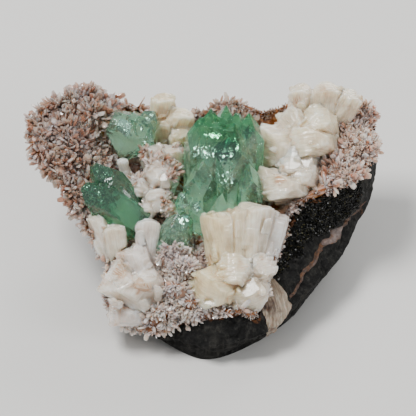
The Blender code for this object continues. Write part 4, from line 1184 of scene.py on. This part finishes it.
def wedge_material():
    """Fibrous zeolite: silky fibres 0.6 mm apart down the wedge, cream with brown between the bundles."""
    material, node, spots = new_material("fibrous_zeolite", 0.4, Subsurface_Weight=0.25,
                                         Subsurface_Scale=1.5 * MM, Sheen_Weight=0.2)
    along = node("Mapping", Vector=spots["UV"], Scale=(1.0, 0.12, 1.0))
    fibres = node("TexNoise", Vector=along, Scale=1.6, Detail=5.0, Roughness=0.65)
    cloud = node("TexNoise", Vector=spots["Object"], Scale=200.0, Detail=4.0)
    cream = node("ValToRGB", fibres,
                 stops=[(0.3, "#5f4b38"), (0.45, "#8f7c67"), (0.6, "#b5a592"), (0.75, "#d6cabb")])
    colour = node("MixRGB", node("MapRange", cloud, 0.5, 0.7), cream, "#7d5632", blend_type="MULTIPLY")
    bump = node("Bump", Height=fibres, Distance=0.4 * MM, Strength=0.8)
    return covered(material, Base_Color=colour, Normal=bump)


# ---- floor, lights and camera ----
FLOOR_REACH = 3000.0  # to each side


def plain_floor():
    """Square of pale card under the specimen."""
    corners = np.array([(-1, -1, 0), (1, -1, 0), (1, 1, 0), (-1, 1, 0)]) * FLOOR_REACH
    floor = new_piece("floor", corners, np.array([[0, 1, 2, 3]]), smooth=False)
    floor.data.materials.append(new_material("pale_card", 0.8, "#d9d7d3")[0])


def soft_light(name, place, size, power):
    """Square area light, white, aimed at the specimen."""
    data = bpy.data.lights.new(name, "AREA")
    data.size = size
    data.energy = power
    light = placed(name, data)
    light.location = place
    aim = np.subtract(CAMERA_TARGET, place)
    flat = math.hypot(aim[0], aim[1])
    light.rotation_euler = (math.atan2(flat, -aim[2]), 0, math.atan2(-aim[0], aim[1]))


def studio():
    """Pale sky and three soft lights, the strongest above on the left."""
    world = bpy.data.worlds.new("studio")
    bpy.context.scene.world = world
    world.use_nodes = True
    backdrop = world.node_tree.nodes["Background"]
    backdrop.inputs["Color"].default_value = linear("#e8ecef")
    backdrop.inputs["Strength"].default_value = 0.5
    soft_light("key_light", (-0.42, 0.02, 0.97), 0.38, 13)
    soft_light("back_light", (0.4, 0.85, 0.45), 0.6, 6)
    soft_light("fill_light", (0.75, -0.35, 0.45), 0.35, 3)


def set_camera():
    """Camera that looks down at the specimen from the front."""
    data = bpy.data.cameras.new("camera")
    data.sensor_width = SENSOR
    data.lens = SENSOR * CAMERA_DISTANCE / VIEW_WIDTH
    camera = placed("camera", data)
    tilt = math.radians(CAMERA_ELEVATION)
    away = np.array([0, -math.cos(tilt), math.sin(tilt)]) * CAMERA_DISTANCE
    camera.location = np.array(CAMERA_TARGET) + away
    camera.rotation_euler = (math.pi / 2 - tilt, 0, 0)
    bpy.context.scene.camera = camera


def main():
    """Sets the stage and makes every piece."""
    set_camera()
    studio()
    plain_floor()
    basalt_piece(basalt_material())
    dark_crystals(dark_crystal_material())
    grid = crust_grid()
    ground = druse_material("druse_ground", 0.0, -0.25, 0.35)
    clear = druse_material("druse_crystals_clear", 0.42, -0.15, 0.5)
    cloudy = druse_material("druse_crystals_cloudy", 0.15, 0.1, 0.8)
    crust_piece(grid, ground)
    druse_pieces(grid, clear, cloudy)
    lip_piece(grid, clear)
    mesh, points, outward = fused("stilbite_druse_fans")
    fan_piece("stilbite_druse_fans", points, mesh, ground)
    overgrowth(points, outward, 170, 2.2, 3.6, "druse_on_fans", cloudy)
    pearly = stilbite_material()
    for name in STILBITE_TONE:
        stilbite_piece(name, STILBITE[name], pearly)
    mesh, points, outward = fused("stilbite_middle")
    overgrowth(points, outward, 36, 2.4, 3.8, "druse_on_middle", cloudy)
    mint, pale, deep = (apophyllite_material("apophyllite_" + name, *row) for name, *row in GREENS)
    for name in APOPHYLLITE:
        apophyllite_piece(name, {"apophyllite_main": mint, "apophyllite_left": deep}.get(name, pale))
    cleavage_piece(cleavage_material())
    vein_piece(vein_material())
    wedge_piece(wedge_material())


main()
